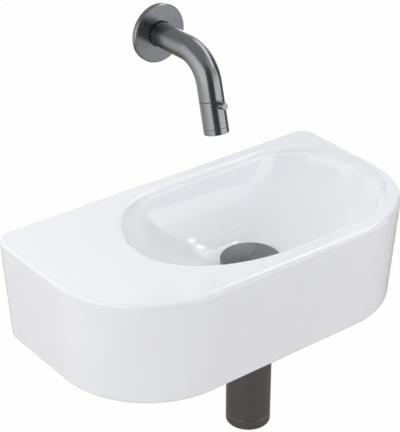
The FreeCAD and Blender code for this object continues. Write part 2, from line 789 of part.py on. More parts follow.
def make_trap():
    """Bottle trap: inlet tube, cup with a clean-out cap, and the pipe to the wall."""
    nut_r = tail_r + s.fit + s.trap_nut_wall
    tube_hole = pipe_r + s.seam
    collar_r = tail_r - 0.3
    seal_low = tail_z - 3
    collar_low = seal_low - 3
    nut_low = collar_low - s.trap_nut_wall
    nut_top = nut_low + s.trap_nut_height
    turned(
        "trap_inlet_nut",
        [
            (tube_hole, nut_low),
            (nut_r - 1, nut_low),
            (nut_r, nut_low + 1),
            (nut_r, nut_top - 1),
            (nut_r - 1, nut_top),
            (tail_r + s.fit, nut_top),
            (tail_r + s.fit, collar_low),
            (tube_hole, collar_low),
        ],
        drain,
    )
    tube_in = pipe_r - s.trap_pipe_wall
    ring("trap_inlet_seal", tube_in, collar_r, seal_low, tail_z, drain)
    dip = trap_foot + s.dip_clearance
    turned(
        "trap_inlet_tube",
        [
            (tube_in, dip),
            (pipe_r, dip),
            (pipe_r, collar_low),
            (collar_r, collar_low),
            (collar_r, seal_low),
            (tube_in, seal_low),
        ],
        drain,
    )
    neck_r = trap_r - s.trap_nut_wall - s.fit
    neck_top = trap_top + s.head_nut_height - s.trap_nut_wall - 3
    cup_r = trap_r - s.trap_wall
    joint_r = cup_r - 1

    body = new_body("trap_body", drain)
    outside = [
        (0, trap_foot),
        (trap_r - 0.5, trap_foot),
        (trap_r, trap_foot + 0.5),
        (trap_r, trap_top - 0.5),
        (trap_r - 0.5, trap_top),
        (neck_r, trap_top),
        (neck_r, neck_top),
        (0, neck_top),
    ]
    spin(body, draw(sketch_on(body, "XZ_Plane"), outside))
    socket_r = pipe_r + s.fit + 2.5
    boss = draw_circle(sketch_on(body, "XZ_Plane"), socket_r, (0, outlet_z))
    pad(body, boss, s.outlet_reach, reverse=True)
    roof = trap_top - 3
    inside = [
        (0, trap_foot - 1),
        (cup_r, trap_foot - 1),
        (cup_r, roof),
        (tube_hole, roof),
        (tube_hole, neck_top + 1),
        (0, neck_top + 1),
    ]
    spin(body, draw(sketch_on(body, "XZ_Plane"), inside), "Groove")
    stop = trap_r + 2
    bore = draw_circle(sketch_on(body, "XZ_Plane", -stop), pipe_r + s.fit, (0, outlet_z))
    pocket(body, bore, s.outlet_reach, reverse=False)
    way = draw_circle(sketch_on(body, "XZ_Plane"), tube_in, (0, outlet_z))
    pocket(body, way, s.outlet_reach, reverse=False)
    keep(body)

    turned(
        "trap_head_seal",
        [
            (pipe_r + s.fit, neck_top),
            (neck_r - 0.4, neck_top),
            (neck_r - 0.4, neck_top + 1.5),
            (pipe_r + 2, neck_top + 3),
            (pipe_r + s.fit, neck_top + 3),
        ],
        drain,
    )
    head_low = trap_top + s.seam
    head_top = trap_top + s.head_nut_height
    turned(
        "trap_head_nut",
        [
            (neck_r + s.fit, head_low),
            (trap_r - 0.5, head_low),
            (trap_r, head_low + 0.5),
            (trap_r, head_top - 1),
            (trap_r - 1, head_top),
            (tube_hole, head_top),
            (tube_hole, neck_top + 3),
            (neck_r + s.fit, neck_top + 3),
        ],
        drain,
    )
    cap_top = trap_foot - s.seam
    cap_low = trap_foot - s.cleanout_height
    spigot = trap_foot + s.cleanout_spigot
    recess_r = s.cleanout_recess_dia / 2
    groove = s.o_ring * 0.8
    cord = (cup_r - joint_r + groove) / 2 - s.fit / 2
    groove_low = trap_foot + s.cleanout_seal_up
    groove_top = groove_low + 2 * cord + s.fit
    turned(
        "cleanout_cap",
        [
            (0, cap_low + 2),
            (recess_r, cap_low + 2),
            (recess_r, cap_low),
            (trap_r - 2, cap_low),
            (trap_r, cap_low + 2),
            (trap_r, cap_top - 0.5),
            (trap_r - 0.5, cap_top),
            (cup_r - s.fit, cap_top),
            (cup_r - s.fit, groove_low),
            (joint_r - groove, groove_low),
            (joint_r - groove, groove_top),
            (cup_r - s.fit, groove_top),
            (cup_r - s.fit, spigot),
            (cup_r - 4, spigot),
            (cup_r - 4, cap_low + 5),
            (0, cap_low + 5),
        ],
        drain,
        arcs={3: Size.of(2)},
    )
    seal_z = (groove_low + groove_top) / 2
    keep(torus("cleanout_seal", joint_r - groove + cord + s.fit / 2, cord, seal_z, drain))

    out = Size.of(-90)
    mouth = (s.drain_right, -drain_out, outlet_z)
    thread_r = socket_r
    seal_out = s.outlet_reach + 3
    nut_out = seal_out + s.trap_nut_wall
    nut_in = nut_out - s.outlet_nut_height
    cover_r = thread_r + s.fit + s.trap_nut_wall
    turned(
        "outlet_seal",
        [
            (pipe_r + s.fit, s.outlet_reach),
            (thread_r - 0.3, s.outlet_reach),
            (thread_r - 0.3, s.outlet_reach + 1.5),
            (pipe_r + 1, seal_out),
            (pipe_r + s.fit, seal_out),
        ],
        mouth,
        out,
    )
    turned(
        "outlet_nut",
        [
            (thread_r + s.fit, nut_in),
            (cover_r - 0.8, nut_in),
            (cover_r, nut_in + 0.8),
            (cover_r, nut_out - 0.8),
            (cover_r - 0.8, nut_out),
            (tube_hole, nut_out),
            (tube_hole, seal_out),
            (thread_r + s.fit, seal_out),
        ],
        mouth,
        out,
    )
    wall_at = drain_out
    pipe_end = wall_at + s.outlet_in_wall
    pipe_start = stop + s.fit
    turned(
        "outlet_pipe",
        [
            (tube_in, pipe_start),
            (pipe_r, pipe_start),
            (pipe_r, wall_at - 2),
            (pipe_r - 0.4, wall_at - 2),
            (pipe_r - 0.4, wall_at),
            (pipe_r, wall_at),
            (pipe_r, pipe_end),
            (tube_in, pipe_end),
        ],
        mouth,
        out,
    )
    plate = s.outlet_rosette_dia / 2
    face = wall_at - s.outlet_rosette_thick
    turned(
        "outlet_rosette",
        [
            (tube_hole - s.fit, face),
            (pipe_r + 6, face),
            (plate, wall_at - 2),
            (plate, wall_at),
            (plate - 2, wall_at),
            (plate - 2, wall_at - 1),
            (pipe_r + 5, face + 2.5),
            (tube_hole - s.fit, face + 2.5),
        ],
        mouth,
        out,
    )


def make_tap():
    """Wall nipple, rosette and the bent spout tube."""
    out = Size.of(90)
    bore = s.nipple_bore / 2
    thread = s.nipple_thread_dia / 2
    spigot = tube_bore - s.fit
    ring_depth = s.o_ring * 0.8
    collar = tube_r - 0.5
    first = s.nipple_spigot - s.first_ring_back
    second = s.nipple_spigot - s.second_ring_back
    profile = [(bore, -s.nipple_thread - 2), (thread - 1, -s.nipple_thread - 2), (thread, -s.nipple_thread - 1)]
    profile += [(thread, Size.of(-2)), (collar, Size.of(-2)), (collar, Size.of(1)), (spigot, Size.of(1))]
    for spot in (first, second):
        low = spot - s.o_ring / 2 - 0.15
        high = spot + s.o_ring / 2 + 0.15
        profile += [(spigot, low), (spigot - ring_depth, low), (spigot - ring_depth, high), (spigot, high)]
    profile += [(spigot, s.nipple_spigot), (bore, s.nipple_spigot)]
    turned("wall_nipple", profile, tap, out)
    cord = (ring_depth + s.fit) / 2 - s.fit / 2
    middle = spigot - ring_depth + cord + s.fit / 2
    both = doc.addObject("Part::Compound", "nipple_seals")
    both.Links = [torus(f"nipple_seal_{n}", middle, cord, spot, tap, out) for n, spot in enumerate((first, second))]
    keep(both, "nipple_seals")

    body = new_body("spout_tube", tap)
    start = Size.of(1.2)
    path = sketch_on(body, "YZ_Plane")
    lower = tap_z - bend_z
    draw(
        path,
        [
            (-start, 0),
            (-s.spout_reach, 0),
            (-bend_y, lower - tap_z),
            (seam_point[1], seam_point[2] - tap_z),
        ],
        arcs={1: s.spout_bend_radius},
        closed=False,
    )
    outline = draw_circle(sketch_on(body, "XZ_Plane", start), tube_r)
    outer = feature(body, "AdditivePipe", outline)
    outer.Spine = path
    doc.recompute()
    outline = draw_circle(sketch_on(body, "XZ_Plane", start), tube_bore)
    inner = feature(body, "SubtractivePipe", outline)
    inner.Spine = path
    doc.recompute()
    screw_out = s.tap_rosette_thick + 5
    hole = draw_circle(sketch_on(body, "XY_Plane"), s.set_screw_dia / 2 + s.fit, (0, -screw_out))
    pocket(body, hole, tube_r + 1)
    keep(body)
    screw_r = s.set_screw_dia / 2
    at = (Size.of(0), -screw_out, tap_z)
    turned(
        "set_screw",
        [
            (0, -tube_r + 0.8),
            (screw_r * 0.5, -tube_r + 0.8),
            (screw_r * 0.5, -tube_r + 0.2),
            (screw_r, -tube_r + 0.2),
            (screw_r, -spigot - 0.6),
            (screw_r - 0.6, -spigot),
            (0, -spigot),
        ],
        at,
    )

    hole_r = tube_r + 0.8
    hub_r = hole_r + 3.5
    rim_r = s.tap_rosette_dia / 2
    back = s.tap_rosette_thick - s.tap_rosette_plate
    groove = s.o_ring * 0.6
    turned(
        "tap_rosette",
        [
            (hole_r, Size.of(0.4)),
            (hub_r, Size.of(0.4)),
            (hub_r, back),
            (rim_r - 2, back),
            (rim_r - 2, Size.of(0)),
            (rim_r, Size.of(0)),
            (rim_r, s.tap_rosette_thick - s.tap_rosette_bevel),
            (rim_r - s.tap_rosette_bevel, s.tap_rosette_thick),
            (hole_r, s.tap_rosette_thick),
            (hole_r, s.o_ring + 1.0),
            (hole_r + groove, s.o_ring + 1.0),
            (hole_r + groove, Size.of(0.8)),
            (hole_r, Size.of(0.8)),
        ],
        tap,
        out,
    )
    cord = (0.8 + groove) / 2 - s.fit / 2
    keep(torus("rosette_seal", tube_r + s.fit / 2 + cord, cord, s.o_ring / 2 + 0.9, tap, out))


def make_valve():
    """Ceramic disc valve in the spout's end, worked by turning the sleeve with its lever pin."""
    at = seam_point
    lean = spout_tilt
    shell = tube_bore - s.fit
    chamber = shell - s.carrier_wall
    clip_r = chamber + 1
    head = -s.carrier_length
    lip = head + 1.4
    seal_end = lip + 1.2
    fixed_end = seal_end + s.disc_thick
    disc_end = fixed_end + s.disc_thick
    clip_start = Size.of(-1.8)
    groove = s.o_ring * 0.8
    turned(
        "valve_carrier",
        [
            (chamber - 2, head),
            (shell, head),
            (shell, head + 3),
            (shell - groove * 0.8, head + 3),
            (shell - groove * 0.8, head + 5),
            (shell, head + 5),
            (shell, Size.of(-0.2)),
            (clip_r, Size.of(-0.2)),
            (clip_r, clip_start),
            (chamber, clip_start),
            (chamber, lip),
            (chamber - 2, lip),
        ],
        at,
        lean,
    )
    cord = (groove * 0.8 + s.fit) / 2 - s.fit / 2
    keep(torus("carrier_seal", shell - groove * 0.8 + cord + s.fit / 2, cord, head + 4, at, lean))
    ring("disc_seal", chamber - 2, chamber - s.fit, lip, seal_end, at, lean)
    disc_r = chamber - s.fit

    def disc(label, low, quarter, notched):
        body = new_body(label, at, lean)
        pad(body, draw_circle(sketch_on(body, "XY_Plane", low), disc_r), s.disc_thick)
        inner = Size.of(1.6)
        outer = disc_r - 2.2
        begin = quarter - s.disc_window / 2
        end = quarter + s.disc_window / 2
        window = sketch_on(body, "XY_Plane", low - 1)
        draw(
            window,
            [
                (inner * cosine(begin), inner * sine(begin)),
                (outer * cosine(begin), outer * sine(begin)),
                (outer * cosine(end), outer * sine(end)),
                (inner * cosine(end), inner * sine(end)),
            ],
            arcs={1: outer, 3: -inner},
        )
        cut = pocket(body, window, s.disc_thick + 2, reverse=True)
        around(body, cut, window, 2)
        if notched:
            notch = sketch_on(body, "XY_Plane", low + s.disc_thick / 2)
            for side in (-1, 1):
                near = (disc_r - 1.6) * side
                far = (disc_r + 1) * side
                draw(notch, [(near, -1.2), (far, -1.2), (far, 1.2), (near, 1.2)][::side])
            pocket(body, notch, s.disc_thick, reverse=True)
        return keep(body)

    disc("fixed_disc", seal_end, Size.of(0), False)
    disc("turning_disc", fixed_end, Size.of(90), True)

    shoulder = chamber - s.play
    neck = chamber - 1.6
    drive = tube_r - s.tube_wall - 0.1 - s.fit
    bore = neck - s.spindle_wall
    drive_end = s.spindle_drive
    ring_spot = (disc_end + clip_start) / 2
    body = new_body("valve_spindle", at, lean)
    profile = [
        (bore, disc_end),
        (shoulder, disc_end),
        (shoulder, ring_spot - s.o_ring * 0.5),
        (shoulder - 1, ring_spot - s.o_ring * 0.5),
        (shoulder - 1, ring_spot + s.o_ring * 0.5),
        (shoulder, ring_spot + s.o_ring * 0.5),
        (shoulder, clip_start - s.play),
        (neck, clip_start - s.play),
        (neck, Size.of(0.4)),
        (drive, Size.of(0.4)),
        (drive, drive_end),
        (bore, drive_end),
    ]
    spin(body, draw(sketch_on(body, "XZ_Plane"), profile))
    dogs = sketch_on(body, "XY_Plane", disc_end)
    for side in (-1, 1):
        near = (disc_r - 1.5) * side
        far = (shoulder - 0.2) * side
        draw(dogs, [(near, -1.1), (far, -1.1), (far, 1.1), (near, 1.1)][::side])
    pad(body, dogs, s.disc_thick / 2 - 0.1, reverse=True)
    thread = s.lever_dia / 2 - 1.4
    drilled = sketch_on(body, "XY_Plane", s.lever_from_seam)
    draw(drilled, [(0, bore - 2), (thread, bore - 2), (thread, drive + 2), (0, drive + 2)])
    spin(body, drilled, "Groove")
    keep(body)
    cord = (1 + s.play) / 2 - 0.05
    keep(torus("spindle_seal", shoulder - 1 + cord + 0.05, cord, ring_spot, at, lean))
    ring("spindle_clip", neck + s.play, clip_r - s.fit, clip_start, Size.of(-0.3), at, lean)

    sleeve_end = s.sleeve_length
    hold = drive + s.fit
    rib = drive_end + s.fit
    rib_end = rib + 1.5
    ring_top = sleeve_end - s.aerator_neck
    body = new_body("handle_sleeve", at, lean)
    profile = [
        (hold, s.seam),
        (tube_r - 0.3, s.seam),
        (tube_r, s.seam + 0.3),
        (tube_r, sleeve_end - 0.2),
        (tube_r - 0.2, sleeve_end),
        (hold, sleeve_end),
        (hold, rib_end),
        (hold - 1.6, rib_end),
        (hold - 1.6, rib),
        (hold, rib),
    ]
    spin(body, draw(sketch_on(body, "XZ_Plane"), profile))
    drilled = sketch_on(body, "XY_Plane", s.lever_from_seam)
    lever_r = s.lever_dia / 2
    draw(
        drilled,
        [
            (0, drive - 1),
            (lever_r + s.fit, drive - 1),
            (lever_r + s.fit, tube_r + 2),
            (0, tube_r + 2),
        ],
    )
    spin(body, drilled, "Groove")
    keep(body)

    body = new_body("lever_pin", at, lean)
    tip = tube_r + s.lever_proud
    seat = hold + s.fit
    outline = sketch_on(body, "XY_Plane", s.lever_from_seam)
    draw(
        outline,
        [
            (0, bore + 0.5),
            (thread - s.fit, bore + 0.5),
            (thread - s.fit, seat),
            (lever_r, seat),
            (lever_r, tip - 0.5),
            (lever_r - 0.5, tip),
            (0, tip),
        ],
        arcs={4: Size.of(0.5)},
    )
    spin(body, outline)
    keep(body)

    insert_r = hold - 2.2
    ring("aerator_seal", insert_r - 2, hold - s.fit, rib_end, ring_top, at, lean)
    end = sleeve_end + s.aerator_ring_height
    lip_z = end - 1.2
    turned(
        "aerator_ring",
        [
            (insert_r, ring_top),
            (hold - s.fit, ring_top),
            (hold - s.fit, sleeve_end + 0.15),
            (tube_r - 0.2, sleeve_end + 0.15),
            (tube_r, sleeve_end + 0.35),
            (tube_r, end - 0.6),
            (tube_r - 0.6, end),
            (insert_r - 0.8, end),
            (insert_r - 0.8, lip_z),
            (insert_r, lip_z),
        ],
        at,
        lean,
    )
    body = new_body("aerator_insert", at, lean)
    cup = insert_r - s.fit
    profile = [
        (0, lip_z - 3),
        (cup - 1.2, lip_z - 3),
        (cup - 1.2, ring_top),
        (cup, ring_top),
        (cup, lip_z),
        (0, lip_z),
    ]
    spin(body, draw(sketch_on(body, "XZ_Plane"), profile))
    plane = sketch_on(body, "XY_Plane", lip_z + 1)
    draw_circle(plane, Size.of(0.9))
    pocket(body, plane, Size.of(6))
    for count, radius in ((6, 2.5), (12, 5.0)):
        plane = sketch_on(body, "XY_Plane", lip_z + 1)
        draw_circle(plane, Size.of(0.9), (Size.of(radius), 0))
        around(body, pocket(body, plane, Size.of(6)), plane, count)
    keep(body)


make_basin()
make_wall_fixing()
make_waste()
make_trap()
make_tap()
make_valve()
doc.recompute()

folder = os.path.join(os.path.dirname(os.path.abspath(__file__)), "parts")
os.makedirs(folder, exist_ok=True)
for part in parts:
    part.Shape.exportStep(os.path.join(folder, f"{part.Label}.step"))
    print(part.Label, len(part.Shape.Solids), part.Shape.isValid(), round(part.Shape.Volume, 1))
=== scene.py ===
"""Wall-hung hand basin with its tap, push waste and bottle trap, dressed for rendering.

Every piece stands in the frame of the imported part, in metres: the wall is the plane y = 0, +X runs along it
to the right, +Y points into it and +Z points up. The classes hold the part's sizes in millimetres.
"""

from __future__ import annotations

import logging
import math
from collections.abc import Sequence
from dataclasses import dataclass, field
from enum import Enum

import bmesh
import bpy
from bmesh.types import BMEdge, BMesh, BMVert
from mathutils import Matrix, Vector


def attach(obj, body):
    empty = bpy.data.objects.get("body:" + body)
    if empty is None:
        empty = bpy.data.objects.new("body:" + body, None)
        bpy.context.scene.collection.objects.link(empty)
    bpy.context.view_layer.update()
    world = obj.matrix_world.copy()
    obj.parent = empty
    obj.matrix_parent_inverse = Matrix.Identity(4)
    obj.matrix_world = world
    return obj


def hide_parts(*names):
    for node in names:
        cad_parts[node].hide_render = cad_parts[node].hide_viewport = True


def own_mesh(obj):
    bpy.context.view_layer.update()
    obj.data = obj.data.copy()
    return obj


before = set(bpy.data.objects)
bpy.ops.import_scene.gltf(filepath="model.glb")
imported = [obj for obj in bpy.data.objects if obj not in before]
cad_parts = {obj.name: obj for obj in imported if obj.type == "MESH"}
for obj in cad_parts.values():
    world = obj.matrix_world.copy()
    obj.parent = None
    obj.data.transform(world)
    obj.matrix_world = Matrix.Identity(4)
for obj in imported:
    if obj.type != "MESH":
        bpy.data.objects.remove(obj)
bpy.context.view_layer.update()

MM = 0.001
TURN_UV = "turned"
# The name of the mesh layer that masks the painted shade on the ceramic's rounded edges.
EDGE_SHADE = "painted_edge_shade"
WHITE_LIGHT = (1.0, 1.0, 1.0, 1.0)
# Places closer than this, in metres, are the same.
SAME_PLACE = 5e-7
# Room between pieces that slide or screw together, in millimetres.
FIT = 0.1
# Faces that meet at less than this many degrees are shaded as one curve.
SMOOTH_ANGLE = 38.0
NORMAL_WEIGHT = 60
# Most values of a noise texture lie between these two.
NOISE_LOW = 0.3
NOISE_HIGH = 0.7
# A rounding wider than this, in millimetres, takes more chords.
WIDE_EDGE = 0.6
# Vertices closer than the first are merged, and faces flatter than the second are dropped, in millimetres.
DOUBLED = 0.0004
FLATTENED = 0.0002
# A thread's flanks and crest as shares of its pitch, how deep its root is sunk, and its chords in a turn.
THREAD_SHARES = (0.06, 0.42, 0.56, 0.92)
THREAD_SUNK = 0.15
THREAD_STEPS = 40
# The rounding of a nut's edges, in millimetres.
NUT_EDGE = 0.45
log = logging.getLogger("hand_basin")


class Body(Enum):
    """The groups of pieces that move as one."""

    FIXTURE = "fixture"
    CLOSER = "waste_closer"
    HANDLE = "spout_handle"


class Slot(Enum):
    """The material slots of the record."""

    GLAZE = "glaze"
    GUNMETAL = "gunmetal"
    BRASS = "brass"
    ZINC = "zinc_steel"
    SPRING = "spring_steel"
    RUBBER = "black_rubber"
    WHITE_PLASTIC = "white_plastic"
    GREY_PLASTIC = "grey_plastic"
    ALUMINA = "white_ceramic"


class Facing(Enum):
    """Which part of the ceramic a face belongs to."""

    GLAZED = 0
    BARE = 1


@dataclass(frozen=True)
class Datum:
    """An axis that a piece is turned about: its origin in millimetres and its lean about X in degrees."""

    origin: tuple[float, float, float]
    lean: float = 0.0

    def matrix(self) -> Matrix:
        """The placement of the axis, in metres."""
        spot = Matrix.Translation(Vector(self.origin) * MM)
        return spot @ Matrix.Rotation(math.radians(self.lean), 4, "X")


# Up through the drain, from the trap to the wall, and out of the wall at the tap and at the right stud.
DRAIN = Datum((36.5, -106.0, 0.0))
OUTLET = Datum((*DRAIN.origin[:2], -96.0), -90.0)
TAP = Datum((0.0, 0.0, 248.0), 90.0)
STUD = Datum((100.0, 0.0, 0.0), 90.0)


@dataclass(frozen=True)
class Corner:
    """A corner of a turned profile: distance from the axis, height along it and rounding."""

    radius: float
    height: float
    edge: float = 0.0


def linear(code: str) -> tuple[float, float, float, float]:
    """Turns an sRGB hex colour to the linear values that a shader takes.

    Args:
        code: The colour as "#rrggbb".

    Returns:
        Red, green, blue and an alpha of 1.
    """
    shares = (int(code[i : i + 2], 16) / 255 for i in (1, 3, 5))
    red, green, blue = (c / 12.92 if c <= 0.04045 else ((c + 0.055) / 1.055) ** 2.4 for c in shares)
    return red, green, blue, 1.0


def per_metre(size: float) -> float:
    """The texture scale on Object coordinates, in metres, that gives features of a size in millimetres."""
    return 1.0 / (size * MM)


def add_node(
    tree: bpy.types.NodeTree, kind: str, inputs: dict[str | int, object] | None = None, **settings: object
) -> bpy.types.Node:
    """Adds a node with its settings, its socket values and its links.

    Args:
        tree: The node tree that takes the node.
        kind: The node's type name.
        inputs: A value, or an output socket to link, for each input by name or number.
        settings: The node's own properties.

    Returns:
        The new node.
    """
    node = tree.nodes.new(kind)
    for name, value in settings.items():
        setattr(node, name, value)
    for key, value in (inputs or {}).items():
        if isinstance(value, bpy.types.NodeSocket):
            tree.links.new(value, node.inputs[key])
        else:
            node.inputs[key].default_value = value
    return node


def new_material(name: str) -> tuple[bpy.types.Material, bpy.types.NodeTree]:
    """Starts an empty node material.

    Args:
        name: What the real material is called.

    Returns:
        The material and its node tree.
    """
    material = bpy.data.materials.new(name)
    material.use_nodes = True
    material.node_tree.nodes.clear()
    return material, material.node_tree


def close_material(tree: bpy.types.NodeTree, shader: bpy.types.Node) -> None:
    """Links a shader to the material's output.

    Args:
        tree: The material's node tree.
        shader: The node whose first output is the surface.
    """
    add_node(tree, "ShaderNodeOutputMaterial", {"Surface": shader.outputs[0]})


@dataclass(frozen=True)
class GlazedChina:
    """Vitreous china under a sprayed, fired glaze: cool white, mirror-smooth, with a faint orange peel."""

    name: str = "glazed_vitreous_china"
    full: str = "#f5f6fa"
    thin_tone_and_edge_shade: str = "#f2f3f7"
    # The colour of the painted shade that darkens the rounded edges of the deck and the bowl's lip.
    edge: str = "#ecedf1"
    drift_mm: float = 70.0
    peel_mm: float = 11.0
    peel_depth_mm: float = 0.012
    smooth: float = 0.045
    dull: float = 0.085
    ior: float = 1.52

    def material(self) -> bpy.types.Material:
        """Makes the material.

        Returns:
            The glaze, drifting slowly in tone where it lies thinner, with painted shade darkening its rounded
            edges.
        """
        material, tree = new_material(self.name)
        place = add_node(tree, "ShaderNodeTexCoord").outputs["Object"]
        drift = add_node(
            tree, "ShaderNodeTexNoise", {"Vector": place, "Scale": per_metre(self.drift_mm), "Detail": 2.0}
        )
        tone = add_node(
            tree,
            "ShaderNodeMix",
            {0: drift.outputs[0], 6: linear(self.full), 7: linear(self.thin_tone_and_edge_shade)},
            data_type="RGBA",
        )
        # Painted shade: this mask darkens the rounded edges towards the edge colour.
        edge_shade_mask = add_node(tree, "ShaderNodeAttribute", attribute_name=EDGE_SHADE)
        tone = add_node(
            tree,
            "ShaderNodeMix",
            {0: edge_shade_mask.outputs["Fac"], 6: tone.outputs[2], 7: linear(self.edge)},
            data_type="RGBA",
        )
        gloss = add_node(
            tree,
            "ShaderNodeMapRange",
            {0: drift.outputs[0], 1: NOISE_LOW, 2: NOISE_HIGH, 3: self.smooth, 4: self.dull},
        )
        peel = add_node(
            tree, "ShaderNodeTexNoise", {"Vector": place, "Scale": per_metre(self.peel_mm), "Detail": 1.0}
        )
        bump = add_node(
            tree,
            "ShaderNodeBump",
            {"Strength": 1.0, "Distance": self.peel_depth_mm * MM, "Height": peel.outputs[0]},
        )
        shader = add_node(
            tree,
            "ShaderNodeBsdfPrincipled",
            {
                "Base Color": tone.outputs[2],
                "Roughness": gloss.outputs[0],
                "IOR": self.ior,
                "Normal": bump.outputs[0],
            },
        )
        close_material(tree, shader)
        return material


@dataclass(frozen=True)
class BareChina:
    """China without glaze, where it stands in the kiln and against the wall: matt, warm and gritty."""

    name: str = "unglazed_china"
    pale: str = "#eceae4"
    grey: str = "#dcd9d0"
    stain_mm: float = 35.0
    grit_mm: float = 0.9
    grit_depth_mm: float = 0.08
    roughness: float = 0.82

    def material(self) -> bpy.types.Material:
        """Makes the material.

        Returns:
            The bare clay, with slow stains and a sandy grain.
        """
        material, tree = new_material(self.name)
        place = add_node(tree, "ShaderNodeTexCoord").outputs["Object"]
        stain = add_node(
            tree, "ShaderNodeTexNoise", {"Vector": place, "Scale": per_metre(self.stain_mm), "Detail": 4.0}
        )
        tone = add_node(
            tree,
            "ShaderNodeMix",
            {0: stain.outputs[0], 6: linear(self.pale), 7: linear(self.grey)},
            data_type="RGBA",
        )
        grit = add_node(tree, "ShaderNodeTexNoise", {"Vector": place, "Scale": per_metre(self.grit_mm)})
        bump = add_node(
            tree, "ShaderNodeBump", {"Distance": self.grit_depth_mm * MM, "Height": grit.outputs[0]}
        )
        shader = add_node(
            tree,
            "ShaderNodeBsdfPrincipled",
            {"Base Color": tone.outputs[2], "Roughness": self.roughness, "Normal": bump.outputs[0]},
        )
        close_material(tree, shader)
        return material


@dataclass(frozen=True)
class BrushedGunmetal:
    """Brass with a gunmetal vapour coating, brushed round its axis: dark, satin and finely ringed."""

    name: str = "brushed_gunmetal_coating"
    light: str = "#808184"
    dark: str = "#797a7d"
    # The real brush lines are about 0.1 mm apart; they are drawn four times as coarse so that they show.
    line_mm: float = 0.4
    patch_mm: float = 14.0
    patch_share: float = 0.35
    polished: float = 0.23
    brushed: float = 0.30
    line_depth_mm: float = 0.0003
    anisotropy: float = 0.35
    across_lines: float = 0.25

    def material(self) -> bpy.types.Material:
        """Makes the material.

        Returns:
            The coating, whose streaks run round the piece by its own UV map.
        """
        material, tree = new_material(self.name)
        coordinates = add_node(tree, "ShaderNodeTexCoord")
        wrap = add_node(tree, "ShaderNodeUVMap", uv_map=TURN_UV)
        split = add_node(tree, "ShaderNodeSeparateXYZ", {0: wrap.outputs[0]})
        lines = add_node(
            tree,
            "ShaderNodeTexNoise",
            {"W": split.outputs["Y"], "Scale": 1.0 / self.line_mm, "Detail": 3.0, "Roughness": 0.7},
            noise_dimensions="1D",
        )
        patch = add_node(
            tree,
            "ShaderNodeTexNoise",
            {"Vector": coordinates.outputs["Object"], "Scale": per_metre(self.patch_mm), "Detail": 3.0},
        )
        mixed = add_node(
            tree,
            "ShaderNodeMix",
            {0: self.patch_share, 2: lines.outputs[0], 3: patch.outputs[0]},
            data_type="FLOAT",
        )
        tone = add_node(
            tree,
            "ShaderNodeMix",
            {0: mixed.outputs[0], 6: linear(self.light), 7: linear(self.dark)},
            data_type="RGBA",
        )
        gloss = add_node(
            tree,
            "ShaderNodeMapRange",
            {0: mixed.outputs[0], 1: NOISE_LOW, 2: NOISE_HIGH, 3: self.polished, 4: self.brushed},
        )
        bump = add_node(
            tree, "ShaderNodeBump", {"Distance": self.line_depth_mm * MM, "Height": lines.outputs[0]}
        )
        along = add_node(tree, "ShaderNodeTangent", direction_type="UV_MAP", uv_map=TURN_UV)
        shader = add_node(
            tree,
            "ShaderNodeBsdfPrincipled",
            {
                "Base Color": tone.outputs[2],
                "Metallic": 1.0,
                "Roughness": gloss.outputs[0],
                "Anisotropic": self.anisotropy,
                "Anisotropic Rotation": self.across_lines,
                "Tangent": along.outputs[0],
                "Normal": bump.outputs[0],
            },
        )
        close_material(tree, shader)
        return material


@dataclass(frozen=True)
class PlainMetal:
    """A machined or plated metal whose tool marks are too small to follow: mottled tone and gloss."""

    name: str
    light: str
    dark: str
    mottle_mm: float
    polished: float
    dull: float

    def material(self) -> bpy.types.Material:
        """Makes the material.

        Returns:
            The metal, mottled in colour and gloss.
        """
        material, tree = new_material(self.name)
        place = add_node(tree, "ShaderNodeTexCoord").outputs["Object"]
        mottle = add_node(
            tree, "ShaderNodeTexNoise", {"Vector": place, "Scale": per_metre(self.mottle_mm), "Detail": 4.0}
        )
        tone = add_node(
            tree,
            "ShaderNodeMix",
            {0: mottle.outputs[0], 6: linear(self.light), 7: linear(self.dark)},
            data_type="RGBA",
        )
        gloss = add_node(
            tree,
            "ShaderNodeMapRange",
            {0: mottle.outputs[0], 1: NOISE_LOW, 2: NOISE_HIGH, 3: self.polished, 4: self.dull},
        )
        shader = add_node(
            tree,
            "ShaderNodeBsdfPrincipled",
            {"Base Color": tone.outputs[2], "Metallic": 1.0, "Roughness": gloss.outputs[0]},
        )
        close_material(tree, shader)
        return material


@dataclass(frozen=True)
class MouldedPiece:
    """A moulded or pressed non-metal: rubber, plastic or lapped ceramic with a fine skin."""

    name: str
    light: str
    dark: str
    grain_mm: float
    grain_depth_mm: float
    smooth: float
    dull: float
    ior: float

    def material(self) -> bpy.types.Material:
        """Makes the material.

        Returns:
            The moulded skin with its fine grain.
        """
        material, tree = new_material(self.name)
        place = add_node(tree, "ShaderNodeTexCoord").outputs["Object"]
        grain = add_node(
            tree, "ShaderNodeTexNoise", {"Vector": place, "Scale": per_metre(self.grain_mm), "Detail": 3.0}
        )
        tone = add_node(
            tree,
            "ShaderNodeMix",
            {0: grain.outputs[0], 6: linear(self.light), 7: linear(self.dark)},
            data_type="RGBA",
        )
        gloss = add_node(
            tree,
            "ShaderNodeMapRange",
            {0: grain.outputs[0], 1: NOISE_LOW, 2: NOISE_HIGH, 3: self.smooth, 4: self.dull},
        )
        bump = add_node(
            tree, "ShaderNodeBump", {"Distance": self.grain_depth_mm * MM, "Height": grain.outputs[0]}
        )
        shader = add_node(
            tree,
            "ShaderNodeBsdfPrincipled",
            {
                "Base Color": tone.outputs[2],
                "Roughness": gloss.outputs[0],
                "IOR": self.ior,
                "Normal": bump.outputs[0],
            },
        )
        close_material(tree, shader)
        return material


